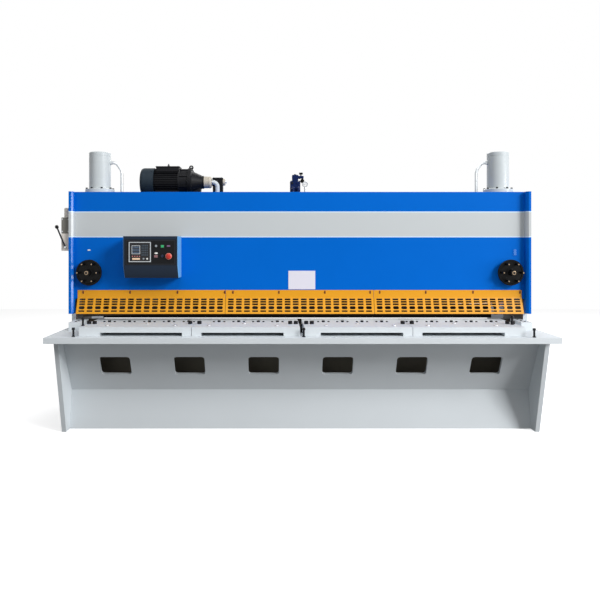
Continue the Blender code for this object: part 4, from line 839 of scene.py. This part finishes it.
class SHEAR_OT_cylinders(bpy.types.Operator):
    """Lift cylinders with flange screws, their rods, and the pipes with unions and clamps"""

    bl_idname = "shear.cylinders"
    bl_label = "Lift cylinders"

    def execute(self, context):
        for side, sign in SIDES:
            low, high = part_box(f"cylinder_{side}")
            x, y = (low.x + high.x) / 2, (low.y + high.y) / 2
            length = high.z - low.z
            seat = 0.1303             # the flange's underside, above the cylinder's lower end
            flange = seat + 0.035     # and its top
            barrel = [(0.094, length), (0.100, length - 0.006), (0.100, length - 0.034),
                      (0.0985, length - 0.035), (0.0985, length - 0.039), (0.100, length - 0.040),
                      (0.100, flange + 0.008), (0.108, flange), (0.132, flange), (0.135, flange - 0.003),
                      (0.135, seat), (0.100, seat), (0.100, 0), (0.052, 0), (0.052, 0.040), (0.075, 0.040),
                      (0.075, length - 0.036)]
            shape = spun(barrel, (x, y, low.z), UP, 64)
            screws = copies(cap_screw(0.010, 0.013), around((x, y, low.z + flange), 0.121, 8, UP, 0.39))
            plug = move(hex_head(0.016, 0.008), (x, y, high.z))
            port = high.z - 0.095
            boss = spun([(0.019, 0.009), (0.021, 0)], (x - sign * 0.0985, y, port), (-sign, 0, 0), 24,
                        0.001)
            wiper = spun([(0.0512, 0), (0.062, 0), (0.060, -0.006), (0.0512, -0.006)], (x, y, low.z), UP,
                         32, closed=False)
            stand_in(f"cylinder_{side}", [(shape, "barrel"), (screws, "oxide"), (plug, "zinc"),
                                          (boss, "barrel"), (wiper, "black")])
            foot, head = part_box(f"rod_{side}")
            tall = head.z - foot.z
            rod = spun([(0.074, tall), (0.074, tall - 0.06), (0.050, tall - 0.06), (0.050, 0)],
                       (x, y, foot.z), UP, 56, 0.002)
            nuts = copies(cap_screw(0.009, 0.010), around((x, y, foot.z), 0.066, 6))
            stand_in(f"rod_{side}", [(rod, "chrome"), (nuts, "oxide")], "blade_carriage")
            self.pipe(side, sign, x, y, port)
        return {"FINISHED"}

    def pipe(self, side, sign, x, y, port):
        """One pipe from its cylinder to the valve block, with a union at each end and its clamps."""
        low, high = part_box("valve_block")
        front = low.y - SKIN
        level = low.z + 0.0747                    # of the ports in the valve block's front
        start = x - sign * 0.1003                 # just off the cylinder
        drop = sign * PIPE_DROP[0]
        end = (low.x + high.x) / 2 + sign * 0.025
        run_y, run_z = PIPE_RUN
        corners = [(start, y, port), ((start + drop) / 2, y, port), (drop, y, port - PIPE_DROP[1]),
                   (drop, y, run_z), (drop, run_y, run_z), (end, run_y, run_z), (end, run_y, run_z + 0.045)]
        riser = [(end, run_y, run_z + 0.040), (end, run_y, level), (end, front, level)]
        parts = [
            (sweep(corners, 0.013, 0.0265), "zinc"),
            (sweep(riser, 0.012, 0.0265), "navy"),
            (move(hex_head(0.0165, 0.020), (end, run_y, run_z + 0.034)), "zinc"),
            (stand(hex_head(0.019, 0.013), (start - sign * 0.008, y, port), (-sign, 0, 0)), "zinc"),
            (stand(hex_head(0.019, 0.016), (end, front - 0.006, level), FRONT), "navy"),
            (spun([(0.016, 0.008), (0.018, 0)], (end, front, level), FRONT, 20), "navy")]
        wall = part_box("oil_tank")[0].y - SKIN
        for at in ((-1.25, -0.65) if sign < 0 else (0.16,)):
            clamp = block((at - 0.018, run_y - 0.017, run_z - 0.022), (at + 0.018, wall, run_z + 0.022),
                          0.003)
            heads = [(at, run_y - 0.017, run_z + dz) for dz in (-0.017, 0.017)]
            parts += [(clamp, "black"), (copies(cap_screw(0.0045, 0.004), heads, FRONT), "zinc")]
        stand_in(f"pipe_{side}", parts)


class SHEAR_OT_power_pack(bpy.types.Operator):
    """Tank, motor, bell housing, pump, suction elbow and filter"""

    bl_idname = "shear.power_pack"
    bl_label = "Power pack"

    def execute(self, context):
        self.tank()
        low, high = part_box("fan_cowl")
        self.axis = ((low.y + high.y) / 2, (low.z + high.z) / 2)
        self.motor()
        self.cowl(high.x)
        self.bell()
        self.pump()
        self.filter()
        return {"FINISHED"}

    def at(self, x):
        """A place on the motor's axis."""
        return (x, *self.axis)

    def tank(self):
        """Welded tank with a screwed lid, a breather, a level glass and a drain plug."""
        low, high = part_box("oil_tank")
        rim = block((low.x - 0.006, low.y - 0.006, high.z - 0.010),
                    (high.x + 0.006, high.y + 0.006, high.z - 0.0005), 0.001)
        spots = [place for y in (low.y + 0.012, high.y - 0.012)
                 for place in along((low.x + 0.04, y, high.z), (high.x - 0.04, y, high.z), 12)]
        breather = spun([(0.026, 0.050), (0.030, 0.044), (0.030, 0.024), (0.018, 0.020), (0.018, 0.008),
                         (0.028, 0.008), (0.028, 0)], (high.x - 0.11, 0.52, high.z), UP, 32, 0.001)
        wall = high.y
        x = low.x + 0.25
        glass = block((x - 0.012, wall, 1.86), (x + 0.012, wall + 0.010, 2.02), 0.003)
        mounts = [block((x - 0.016, wall, z - 0.014), (x + 0.016, wall + 0.014, z + 0.014), 0.003)
                  for z in (1.855, 2.025)]
        drain = stand(hex_head(0.020, 0.014), (high.x - 0.12, wall, low.z + 0.045), BACK)
        finished("oil_tank", "blue", 0.003, extra=[
            (rim, "blue"), (copies(hex_head(0.008, 0.006), spots), "oxide"), (breather, "black"),
            (glass, "milky"), (mounts, "black"), (drain, "zinc")])

    def motor(self):
        """Finned body, end shield, feet, and the terminal box on top."""
        low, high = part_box("motor")
        y, z = self.axis
        right = high.x - 0.112
        base = low.z
        core = spun([(0.119, right - low.x), (0.119, 0)], self.at(low.x), RIGHT, 64)
        fins = fanned(block((low.x + 0.002, -0.0020, 0.112), (right - 0.002, 0.0020, 0.132), 0.0008, 1),
                      36, self.axis)
        shield = spun([(0.137, 0.112), (0.140, 0.109), (0.140, 0.096), (0.126, 0.090), (0.126, 0.016),
                       (0.133, 0.010), (0.133, 0)], self.at(right), RIGHT, 64, 0.001)
        ribs = fanned(block((right + 0.012, -0.004, 0.118), (right + 0.096, 0.004, 0.136), 0.001, 1),
                      8, self.axis, TURN / 16)
        bolts = copies(hex_head(0.008, 0.007), around(self.at(right + 0.094), 0.132, 8, LEFT), LEFT)
        foot = block((low.x + 0.020, y - 0.110, base), (right + 0.010, y + 0.110, z - 0.090), 0.003)
        sole = block((low.x + 0.016, y - 0.122, base), (right + 0.014, y + 0.122, base + 0.014), 0.003)
        spots = product((low.x + 0.045, right - 0.015), (y - 0.114, y + 0.114), (base + 0.014,))
        feet = copies(hex_head(0.0075, 0.007), spots)
        terminal = block((low.x + 0.020, y - 0.075, z + 0.090),
                         (right + 0.010, y + 0.075, high.z - 0.010), 0.004)
        lid = block((low.x + 0.016, y - 0.079, high.z - 0.010), (right + 0.014, y + 0.079, high.z), 0.003)
        spots = product((low.x + 0.030, right), (y - 0.067, y + 0.067), (high.z,))
        lid_screws = copies(cap_screw(0.005, 0.004), spots)
        stud = spun([(0.006, 0.030), (0.007, 0.018), (0.011, 0.016), (0.011, 0)], (-1.280, y, high.z), UP,
                    20, 0.001)
        gland = spun([(0.009, 0.022), (0.012, 0.016), (0.012, 0.006), (0.016, 0.006), (0.016, 0)],
                     (right + 0.010, y + 0.035, high.z - 0.031), RIGHT, 20, 0.0008)
        stand_in("motor", [
            ((core, fins, shield, ribs), "motor"), (bolts, "oxide"), ((foot, sole), "motor"), (feet, "zinc"),
            ((terminal, lid), "motor"), (lid_screws, "zinc"), ((stud, gland), "black")])

    def cowl(self, right):
        """Pressed fan cowl with a ring grille in its end."""
        shell = spun([(0.100, 0.121), (0.102, 0.133), (0.115, 0.133), (0.129, 0.126), (0.137, 0.114),
                      (0.140, 0.100), (0.140, 0)], self.at(right), LEFT, 64)
        rings = [ring(self.at(right - 0.130), RIGHT, major, 0.0022, 48, 8)
                 for major in (0.022, 0.038, 0.054, 0.070, 0.086)]
        spokes = fanned(block((right - 0.1325, -0.003, 0.0), (right - 0.1275, 0.003, 0.1015), 0.001, 1),
                        6, self.axis)
        hub = spun([(0.014, 0.006), (0.014, 0)], self.at(right - 0.127), LEFT, 24, 0.001)
        screws = copies(cap_screw(0.005, 0.004), around(self.at(right - 0.02), 0.1395, 4, RIGHT, 0.785), UP)
        stand_in("fan_cowl", [((shell, *rings, spokes, hub), "cowl"), (screws, "oxide")])

    def bell(self):
        """Bell housing between motor and pump, with its flange screws and the lifting eye."""
        low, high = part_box("bell_housing")
        y, z = self.axis
        shell = spun([(0.060, 0.136), (0.064, 0.132), (0.064, 0.116), (0.108, 0.022), (0.114, 0.018),
                      (0.137, 0.018), (0.140, 0.015), (0.140, 0)], self.at(low.x), RIGHT, 64)
        bolts = copies(hex_head(0.008, 0.007), around(self.at(low.x + 0.018), 0.127, 8, RIGHT, 0.39), RIGHT)
        rib = block((low.x + 0.020, -0.003, 0.060), (low.x + 0.112, 0.003, 0.110), 0.001, 1)
        outer = [vert for vert in rib.verts if vert.co.x > low.x + 0.060 and vert.co.z > 0.090]
        bmesh.ops.translate(rib, vec=(0, 0, -0.042), verts=outer)
        ribs = fanned(rib, 8, self.axis)
        eye = ring((low.x + 0.0075, y, high.z - 0.0225), FRONT, 0.016, 0.0065, 32, 12)
        foot = block((low.x + 0.016, y - 0.045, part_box("motor")[0].z),
                     (low.x + 0.104, y + 0.045, z - 0.056), 0.003)
        stop_rim_highlight = spun([(0.011, 0.008), (0.013, 0)], (low.x + 0.0075, y, z + 0.1385), UP, 20)
        stand_in("bell_housing", [((shell, ribs), "motor"), (bolts, "oxide"), ((eye, stop_rim_highlight, foot), "motor")])

    def pump(self):
        """Gear pump and its suction elbow down into the tank."""
        low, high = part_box("pump")
        body = spun([(0.046, 0.075), (0.052, 0.071), (0.058, 0.063), (0.058, 0.046), (0.0555, 0.045),
                     (0.0555, 0.040), (0.058, 0.039), (0.058, 0)], self.at(low.x), RIGHT, 48)
        bolts = copies(cap_screw(0.0055, 0.006), around(self.at(high.x), 0.040, 4, RIGHT, 0.785), RIGHT)
        stand_in("pump", [(body, "pump"), (bolts, "oxide")])
        low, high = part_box("suction_elbow")
        end = Vector((high.x - 0.022, self.axis[0], low.z))
        pipe = sweep([self.at(low.x), self.at(end.x), end], 0.022, 0.044, 28, 12)
        nut = stand(hex_head(0.030, 0.012), self.at(low.x + 0.001), RIGHT)
        flange = spun([(0.036, 0.010), (0.038, 0.008), (0.038, 0)], end, UP, 32)
        screws = copies(cap_screw(0.005, 0.005), around(end + Vector((0, 0, 0.010)), 0.030, 4, UP, 0.785))
        stand_in("suction_elbow", [(pipe, "barrel"), (nut, "zinc"), (flange, "barrel"), (screws, "oxide")])

    def filter(self):
        """Return filter: a cast block with a screwed cap and a plug on its side."""
        low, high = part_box("filter_block")
        side = high.x - 0.024
        y, z = (low.y + high.y) / 2, high.z - 0.044
        body = block(low, (side, high.y, high.z), 0.005, 3)
        lid = block((low.x - 0.003, low.y - 0.003, high.z - 0.020),
                    (side + 0.003, high.y + 0.003, high.z - 0.006), 0.002)
        cap = spun([(0.028, 0.024), (0.034, 0.018), (0.034, 0)], (side, y, z), RIGHT, 32, 0.001)
        plug = stand(hex_head(0.013, 0.012), (high.x, y, z), RIGHT)
        spots = product((low.x + 0.014, side - 0.014), (low.y + 0.014, high.y - 0.014), (high.z,))
        screws = copies(cap_screw(0.005, 0.005), spots)
        stand_in("filter_block", [((body, lid), "motor"), (cap, "pump"), ((plug, screws), "zinc")])


class SHEAR_OT_valves(bpy.types.Operator):
    """Valve block, relief valve and pressure gauge"""

    bl_idname = "shear.valves"
    bl_label = "Valves"

    def execute(self, context):
        low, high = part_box("valve_block")
        x, y = (low.x + high.x) / 2, (low.y + high.y) / 2
        top = high.z - 0.066
        base = tower(x, y, 0.064, low.z, low.z + 0.012, 0.002)
        spots = product((x - 0.056, x + 0.056), (y - 0.056, y + 0.056), (low.z + 0.012,))
        feet = copies(cap_screw(0.005, 0.005), spots)
        body = tower(x, y, 0.050, low.z, top, 0.003, 3)
        spots = product((x - 0.040, x + 0.040), (y - 0.040, y + 0.040), (top,))
        screws = copies(cap_screw(0.006, 0.007), spots)
        stack = tower(x, y, 0.030, top, high.z, 0.004, 3)
        bands = [tower(x, y, 0.0315, z, z + 0.004, 0.001) for z in (top + 0.006, top + 0.028, top + 0.050)]
        nut = spun([(0.010, 0.010), (0.012, 0.007), (0.012, 0)], (x, y, high.z - 0.001), UP, 20)
        plug, blank = (spun([(0.009, 0.006), (0.011, 0.004), (0.011, 0)], (at, y - 0.050, top - 0.018),
                            FRONT, 20) for at in (x + 0.020, x - 0.030))
        stand_in("valve_block", [
            (base, "navy"), (feet, "oxide"), (body, "navy"), (screws, "oxide"), ((stack, *bands), "navy"),
            (nut, "oxide"), (plug, "navy"), (blank, "oxide")])
        self.relief(y)
        self.gauge()
        return {"FINISHED"}

    def relief(self, y):
        """Relief valve out of the stack's side, with a star knob on top and a round one below."""
        low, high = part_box("relief_valve")
        axis = high.z - 0.046
        middle = low.x + 0.027
        knob_place = (high.x - 0.020, y, low.z + 0.020)
        body = spun([(0.013, 0.054), (0.016, 0.050), (0.016, 0.034), (0.0135, 0.033), (0.0135, 0.022),
                     (0.016, 0.021), (0.016, 0)], (low.x, y, axis), RIGHT, 24)
        spindle = spun([(0.006, 0.030), (0.006, 0)], (middle, y, axis), UP, 16)
        lobe = spun([(0.0055, 0.018), (0.0065, 0.014), (0.0065, 0.002), (0, 0)], steps=16)
        star = copies(lobe, around((middle, y, high.z - 0.018), 0.0135, 5))
        core = spun([(0, 0.020), (0.013, 0.018), (0.015, 0.014), (0.015, 0)],
                    (middle, y, high.z - 0.019), UP, 24)
        link = spun([(0.006, 0.036), (0.006, 0)], knob_place, UP, 16)
        knob = spun([(0.015, 0.018), (0.020, 0.013), (0.020, -0.014), (0.017, -0.018)], knob_place, FRONT,
                    28, 0.001)
        stand_in("relief_valve", [(body, "navy"), (spindle, "oxide"), ((star, core), "phenolic"),
                                  (link, "zinc"), (knob, "phenolic")])

    def gauge(self):
        """Pressure gauge with a dial of plain marks and a needle."""
        low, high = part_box("pressure_gauge")
        place = Vector(((low.x + high.x) / 2, (low.y + high.y) / 2, high.z - 0.028))
        case = spun([(0.0225, 0.011), (0.0235, 0.014), (0.027, 0.014), (0.028, 0.012), (0.028, -0.011),
                     (0.025, -0.014), (0, -0.014)], place, FRONT, 40, closed=False)
        dial = spun([(0.0232, 0.010), (0.0232, 0.008)], place, FRONT, 40)
        hands = [(block((-0.0007, -0.0104, 0.0165), (0.0007, -0.0099, 0.0215)), -135 + 270 * number / 8)
                 for number in range(9)]
        hands.append((block((-0.0006, -0.0115, -0.005), (0.0006, -0.0107, 0.017)), -110))
        for bm, angle in hands:
            turn = Matrix.Rotation(math.radians(angle), 4, "Y")
            bmesh.ops.transform(bm, matrix=Matrix.Translation(place) @ turn, verts=bm.verts)
        stem = spun([(0.007, 0), (0.007, low.z - place.z)], place, UP, 16)
        nut = move(hex_head(0.011, 0.012), (place.x, place.y, place.z - 0.044))
        stand_in("pressure_gauge", [(case, "zinc"), (dial, "dial"), ([bm for bm, _ in hands], "black"),
                                    ((stem, nut), "zinc")])


class SHEAR_OT_handwheels(bpy.types.Operator):
    """Handwheels that set the blade gap: dished discs with a hub and six finger pegs"""

    bl_idname = "shear.handwheels"
    bl_label = "Handwheels"

    def execute(self, context):
        front = 0.168         # how far the rims stand in front of the blades' plane
        for side, _ in SIDES:
            body = f"handwheel_{side}"
            low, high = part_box(body)
            x, z = (low.x + high.x) / 2, (low.z + high.z) / 2
            middle = (x, -front, z)
            wheel = spun([(0.020, front + 0.070), (0.022, front + 0.077), (0.030, front + 0.077),
                          (0.030, front - 0.002), (0.036, front - 0.005), (0.098, front - 0.005),
                          (0.102, front), (0.112, front), (0.118, front - 0.006), (0.118, 0.153),
                          (0.115, 0.150), (0.030, 0.150), (0.030, 0.118), (0.015, 0.118), (0.015, 0.050)],
                         (x, 0, z), FRONT, 72)
            peg = spun([(0.007, 0.066), (0.010, 0.062), (0.010, -0.010)], steps=20)
            end = spun([(0.005, 0.068), (0.0065, 0.0665), (0.0065, 0.064)], steps=16)
            spots = around(middle, 0.087, 6, FRONT)
            washer = spun([(0.0155, 0.0745), (0.018, 0.073), (0.018, 0.069)], middle, FRONT, 32)
            screw = stand(cap_screw(0.010, 0.006), (x, -front - 0.0745, z), FRONT)
            stand_in(body, [((wheel, copies(peg, spots, FRONT)), "phenolic"),
                            ((copies(end, spots, FRONT), washer), "worn"), (screw, "oxide")],
                     body)
        return {"FINISHED"}


class SHEAR_OT_controls(bpy.types.Operator):
    """Control box with its controller, keys, lamps, switches and emergency stop"""

    bl_idname = "shear.controls"
    bl_label = "Control box"

    def execute(self, context):
        finished("control_box", "box_paint", 0.004)
        low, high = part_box("controller")
        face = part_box("control_box")[0].y
        unit = tray(low, (high.x, face - SKIN, high.z), 0.0065, 0.003)
        front = low.y + 0.0022
        inner = block((low.x + 0.0070, front, low.z + 0.0070),
                      (high.x - 0.0070, low.y + 0.0035, high.z - 0.0070))
        screen = tray((-1.4900, front - 0.0030, 1.5630), (-1.4160, front, 1.6390), 0.004, 0.0015)
        glass = block((-1.4855, front - 0.0020, 1.5675), (-1.4205, front - 0.0010, 1.6345))
        parts = [(unit, "rim"), (inner, "face"), (screen, "rim"), (glass, "screen")]
        # Keys and lamps: x and z of the middle, half the width and height, how far it stands out, its
        # rounding and its finish
        caps = [(-1.3985 + 0.0150 * column, 1.6370 - 0.0205 * row, 0.0052, 0.0068, 0.0025, 0.0012, "key")
                for column in range(4) for row in range(5)]
        caps += [(-1.4840 + 0.0207 * number, 1.5440, 0.0045, 0.0035, 0.002, 0.001, "lamp_red")
                 for number in range(4)]
        caps.append((-1.4520, 1.52075, 0.0340, 0.00775, 0.002, 0.001, "lamp_amber"))
        for x, z, wide, tall, out, width, finish in caps:
            cap = block((x - wide, front - out, z - tall), (x + wide, front, z + tall), width, 1)
            parts.append((cap, finish))
        button = [(0.0060, 0.004), (0.0075, 0.0025), (0.0075, 0)]
        for x, finish in ((-1.3860, "grey"), (-1.3540, "lamp_white")):
            parts.append((spun(button, (x, front, 1.5215), FRONT, 20), finish))
        stand_in("controller", parts)
        self.switches(face)
        self.stop(face)
        return {"FINISHED"}

    def switches(self, face):
        """The row of lamps and switches between the controller and the emergency stop."""
        selector, knob = (-1.2769, face, 1.6345), (-1.2195, face, 1.5462)
        bezel = [(0.0125, 0.003), (0.0145, 0.001), (0.0145, 0)]
        # Selector with a raised grip, and a dark turning knob
        parts = [([spun(bezel, (x, face - SKIN, z), FRONT, 28) for x, _, z in (selector, knob)], "black"),
                 (spun([(0.0085, 0.012), (0.0105, 0.003)], selector, FRONT, 24), "grey"),
                 (block((-1.2794, face - 0.020, 1.6260), (-1.2744, face - 0.011, 1.6430), 0.0015), "grey"),
                 (spun([(0.0100, 0.020), (0.0120, 0.016), (0.0120, 0.003)], knob, FRONT, 28), "navy_plastic")]
        for x, z, wide, tall, finish in ((-1.2203, 1.6319, 0.014, 0.012, "lamp_green"),
                                         (-1.1656, 1.6345, 0.015, 0.007, "violet"),
                                         (-1.2769, 1.5440, 0.016, 0.012, "rose")):
            rim = tray((x - wide - 0.003, face - 0.005, z - tall - 0.003),
                       (x + wide + 0.003, face - SKIN, z + tall + 0.003), 0.003, 0.002)
            cap = block((x - wide + 0.001, face - 0.009, z - tall + 0.001),
                        (x + wide - 0.001, face - 0.002, z + tall - 0.001), 0.002)
            parts += [(rim, "black"), (cap, finish)]
        lamp = spun([(0, 0.008), (0.009, 0.007), (0.0130, 0.003), (0.0130, 0)], (0, 0, 0), FRONT, 28)
        bmesh.ops.scale(lamp, vec=(1.15, 1.0, 0.62), verts=lamp.verts)
        parts.append((move(lamp, (-1.2769, face - SKIN, 1.5700)), "lamp_white"))
        piece("control_switches", parts)

    def stop(self, face):
        """Emergency stop: a red mushroom head on a stem, with a paler rim that is a painted highlight on the
        head's shoulder.
        """
        low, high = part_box("emergency_stop")
        x, z = (low.x + high.x) / 2, (low.z + high.z) / 2
        head = spun([(0, 0.030), (0.010, 0.0295), (0.018, 0.0275), (0.0245, 0.0235), (0.0278, 0.0185),
                     (0.028, 0.0135), (0.0265, 0.012), (0.010, 0.012), (0.010, -0.028)], (x, face, z),
                    FRONT, 48)
        # A pale ring on the head's shoulder: a painted highlight
        rim = ring((x, face - 0.0196, z), FRONT, 0.0258, 0.0022, 48, 10)
        stand_in("emergency_stop", [(head, "red"), (rim, "stop_rim_highlight")], "emergency_stop")


class SHEAR_OT_lubricator(bpy.types.Operator):
    """Hand pump for oil on the left side plate"""

    bl_idname = "shear.lubricator"
    bl_label = "Lubricator"

    def execute(self, context):
        low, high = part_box("lubricator_body")
        x, y = (low.x + high.x) / 2, (low.y + high.y) / 2
        top = high.z - 0.088
        body = block(low, (high.x, high.y, top), 0.004, 3)
        neck = spun([(0.020, 0.088), (0.026, 0.082), (0.026, 0.050), (0.0235, 0.048), (0.0235, 0.044),
                     (0.026, 0.042), (0.026, 0)], (x, y, top), UP, 36, 0.0008)
        spots = product((x - 0.028, x + 0.028), (low.y,), (low.z + 0.018, top - 0.018))
        screws = copies(cap_screw(0.005, 0.005), spots, FRONT)
        outlet = move(hex_head(0.010, 0.014), (x - 0.015, y, top))
        stand_in("lubricator_body", [(body, "lube"), (neck, "milky"), ((screws, outlet), "zinc")])
        finished("lubricator_reservoir", "milky", 0.004)
        pivot = (-2.135, -0.156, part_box("lubricator_reservoir")[0].z + 0.032)
        lean = math.radians(22.7)
        way = (-math.sin(lean), 0, math.cos(lean))
        pin = spun([(0.009, 0.011), (0.009, -0.005), (0.005, -0.006), (0.005, -0.045)], pivot, FRONT, 20,
                   0.001)
        arm = spun([(0.0070, 0.190), (0.0075, 0.0)], pivot, way, 16)
        knob = spun([(0, 0.218), (0.007, 0.217), (0.013, 0.212), (0.0165, 0.203), (0.0160, 0.194),
                     (0.011, 0.186), (0.007, 0.183)], pivot, way, 28)
        stand_in("lubricator_lever", [(pin, "zinc"), (arm, "oxide"), (knob, "phenolic")],
                 "lubricator_lever")
        return {"FINISHED"}


class SHEAR_OT_stage(bpy.types.Operator):
    """Floor, soft lights, pale surroundings and the camera"""

    bl_idname = "shear.stage"
    bl_label = "Studio"

    def execute(self, context):
        scene = context.scene
        self.floor(scene)
        self.surround(scene)
        for name, place, size, power in LAMPS:
            self.lamp(scene, name, place, size, power)
        self.camera(scene)
        scene.view_settings.view_transform = "Standard"
        return {"FINISHED"}

    def floor(self, scene):
        """Matt painted floor: white where it is looked at, greyer where it throws light up."""
        mesh = bpy.data.meshes.new("studio_floor")
        bm = bmesh.new()
        bmesh.ops.create_grid(bm, x_segments=1, y_segments=1, size=10.0)
        bm.to_mesh(mesh)
        bm.free()
        floor = bpy.data.objects.new("studio_floor", mesh)
        scene.collection.objects.link(floor)
        material = bpy.data.materials.new("studio_floor_paint")
        material.use_nodes = True
        tree = material.node_tree
        tree.nodes.remove(tree.nodes["Principled BSDF"])
        paint = add(tree, "BsdfDiffuse", {"Color": (0.75, 0.75, 0.75, 1.0)})
        glow = add(tree, "Emission", {"Color": WHITE, "Strength": 0.66})
        shown = add(tree, "AddShader", (paint, glow))
        thrown = add(tree, "BsdfDiffuse", {"Color": (0.16, 0.16, 0.16, 1.0)})
        both = add(tree, "MixShader", (self.seen(tree), thrown, shown))
        feed(tree, tree.nodes["Material Output"], (both,))
        material.cycles.emission_sampling = "NONE"
        mesh.materials.append(material)

    def seen(self, tree):
        """1 for rays that show what they meet: from the camera, off gloss or through glass."""
        path = add(tree, "LightPath").outputs
        either = add(tree, "Math", (path["Is Camera Ray"], path["Is Glossy Ray"]), operation="MAXIMUM")
        return add(tree, "Math", (either, path["Is Transmission Ray"]), operation="MAXIMUM")

    def surround(self, scene):
        """White where it is seen, softer as light."""
        scene.world = bpy.data.worlds.new("studio")
        scene.world.use_nodes = True
        tree = scene.world.node_tree
        strength = add(tree, "MapRange", {"Value": self.seen(tree), "To Min": 0.22, "To Max": 1.0})
        feed(tree, tree.nodes["Background"], {"Color": WHITE, "Strength": strength})

    def lamp(self, scene, name, place, size, power):
        """A square soft light that faces the middle of the machine."""
        light = bpy.data.lights.new(f"{name}_light", "AREA")
        light.size = size
        light.energy = power
        item = bpy.data.objects.new(f"{name}_light", light)
        item.location = place
        item.rotation_mode = "QUATERNION"
        item.rotation_quaternion = (Vector((0, 0, 1.1)) - Vector(place)).to_track_quat("-Z", "Y")
        scene.collection.objects.link(item)

    def camera(self, scene):
        """The photograph's view: just left of the middle, 1.66 m up and 5.9 m in front of the blades."""
        data = bpy.data.cameras.new("camera")
        data.lens = 37.99
        data.sensor_width = 36.0
        data.shift_x = 0.0433
        data.shift_y = -0.095
        item = bpy.data.objects.new("camera", data)
        item.location = (-0.235, -5.92, 1.661)
        item.rotation_euler = (math.pi / 2, 0, 0)
        scene.collection.objects.link(item)
        scene.camera = item


OPERATORS = (
    SHEAR_OT_plates, SHEAR_OT_panel, SHEAR_OT_table, SHEAR_OT_bed, SHEAR_OT_blades, SHEAR_OT_holddowns,
    SHEAR_OT_guard, SHEAR_OT_cylinders, SHEAR_OT_power_pack, SHEAR_OT_valves, SHEAR_OT_handwheels,
    SHEAR_OT_controls, SHEAR_OT_lubricator, SHEAR_OT_stage,
)


class SHEAR_PT_sidebar(bpy.types.Panel):
    """Colours, sizes and build steps of the shear"""

    bl_idname = "SHEAR_PT_sidebar"
    bl_label = "Guillotine shear"
    bl_space_type = "VIEW_3D"
    bl_region_type = "UI"
    bl_category = "Shear"

    def draw(self, context):
        for group in (context.scene.shear_colours, context.scene.shear_sizes):
            box = self.layout.box()
            for name in group.__annotations__:
                box.prop(group, name)
        for operator in OPERATORS:
            self.layout.operator(operator.bl_idname)


CLASSES = (ShearColours, ShearSizes, *OPERATORS, SHEAR_PT_sidebar)


def register():
    """Adds the classes and the scene's properties."""
    for item in CLASSES:
        bpy.utils.register_class(item)
    bpy.types.Scene.shear_colours = bpy.props.PointerProperty(type=ShearColours)
    bpy.types.Scene.shear_sizes = bpy.props.PointerProperty(type=ShearSizes)


def unregister():
    """Takes them away again."""
    del bpy.types.Scene.shear_sizes
    del bpy.types.Scene.shear_colours
    for item in reversed(CLASSES):
        bpy.utils.unregister_class(item)


def main():
    """Builds every piece and the studio."""
    register()
    make_finishes(bpy.context.scene.shear_colours)
    for operator in OPERATORS:
        group, name = operator.bl_idname.split(".")
        getattr(getattr(bpy.ops, group), name)()


if __name__ == "__main__":
    main()
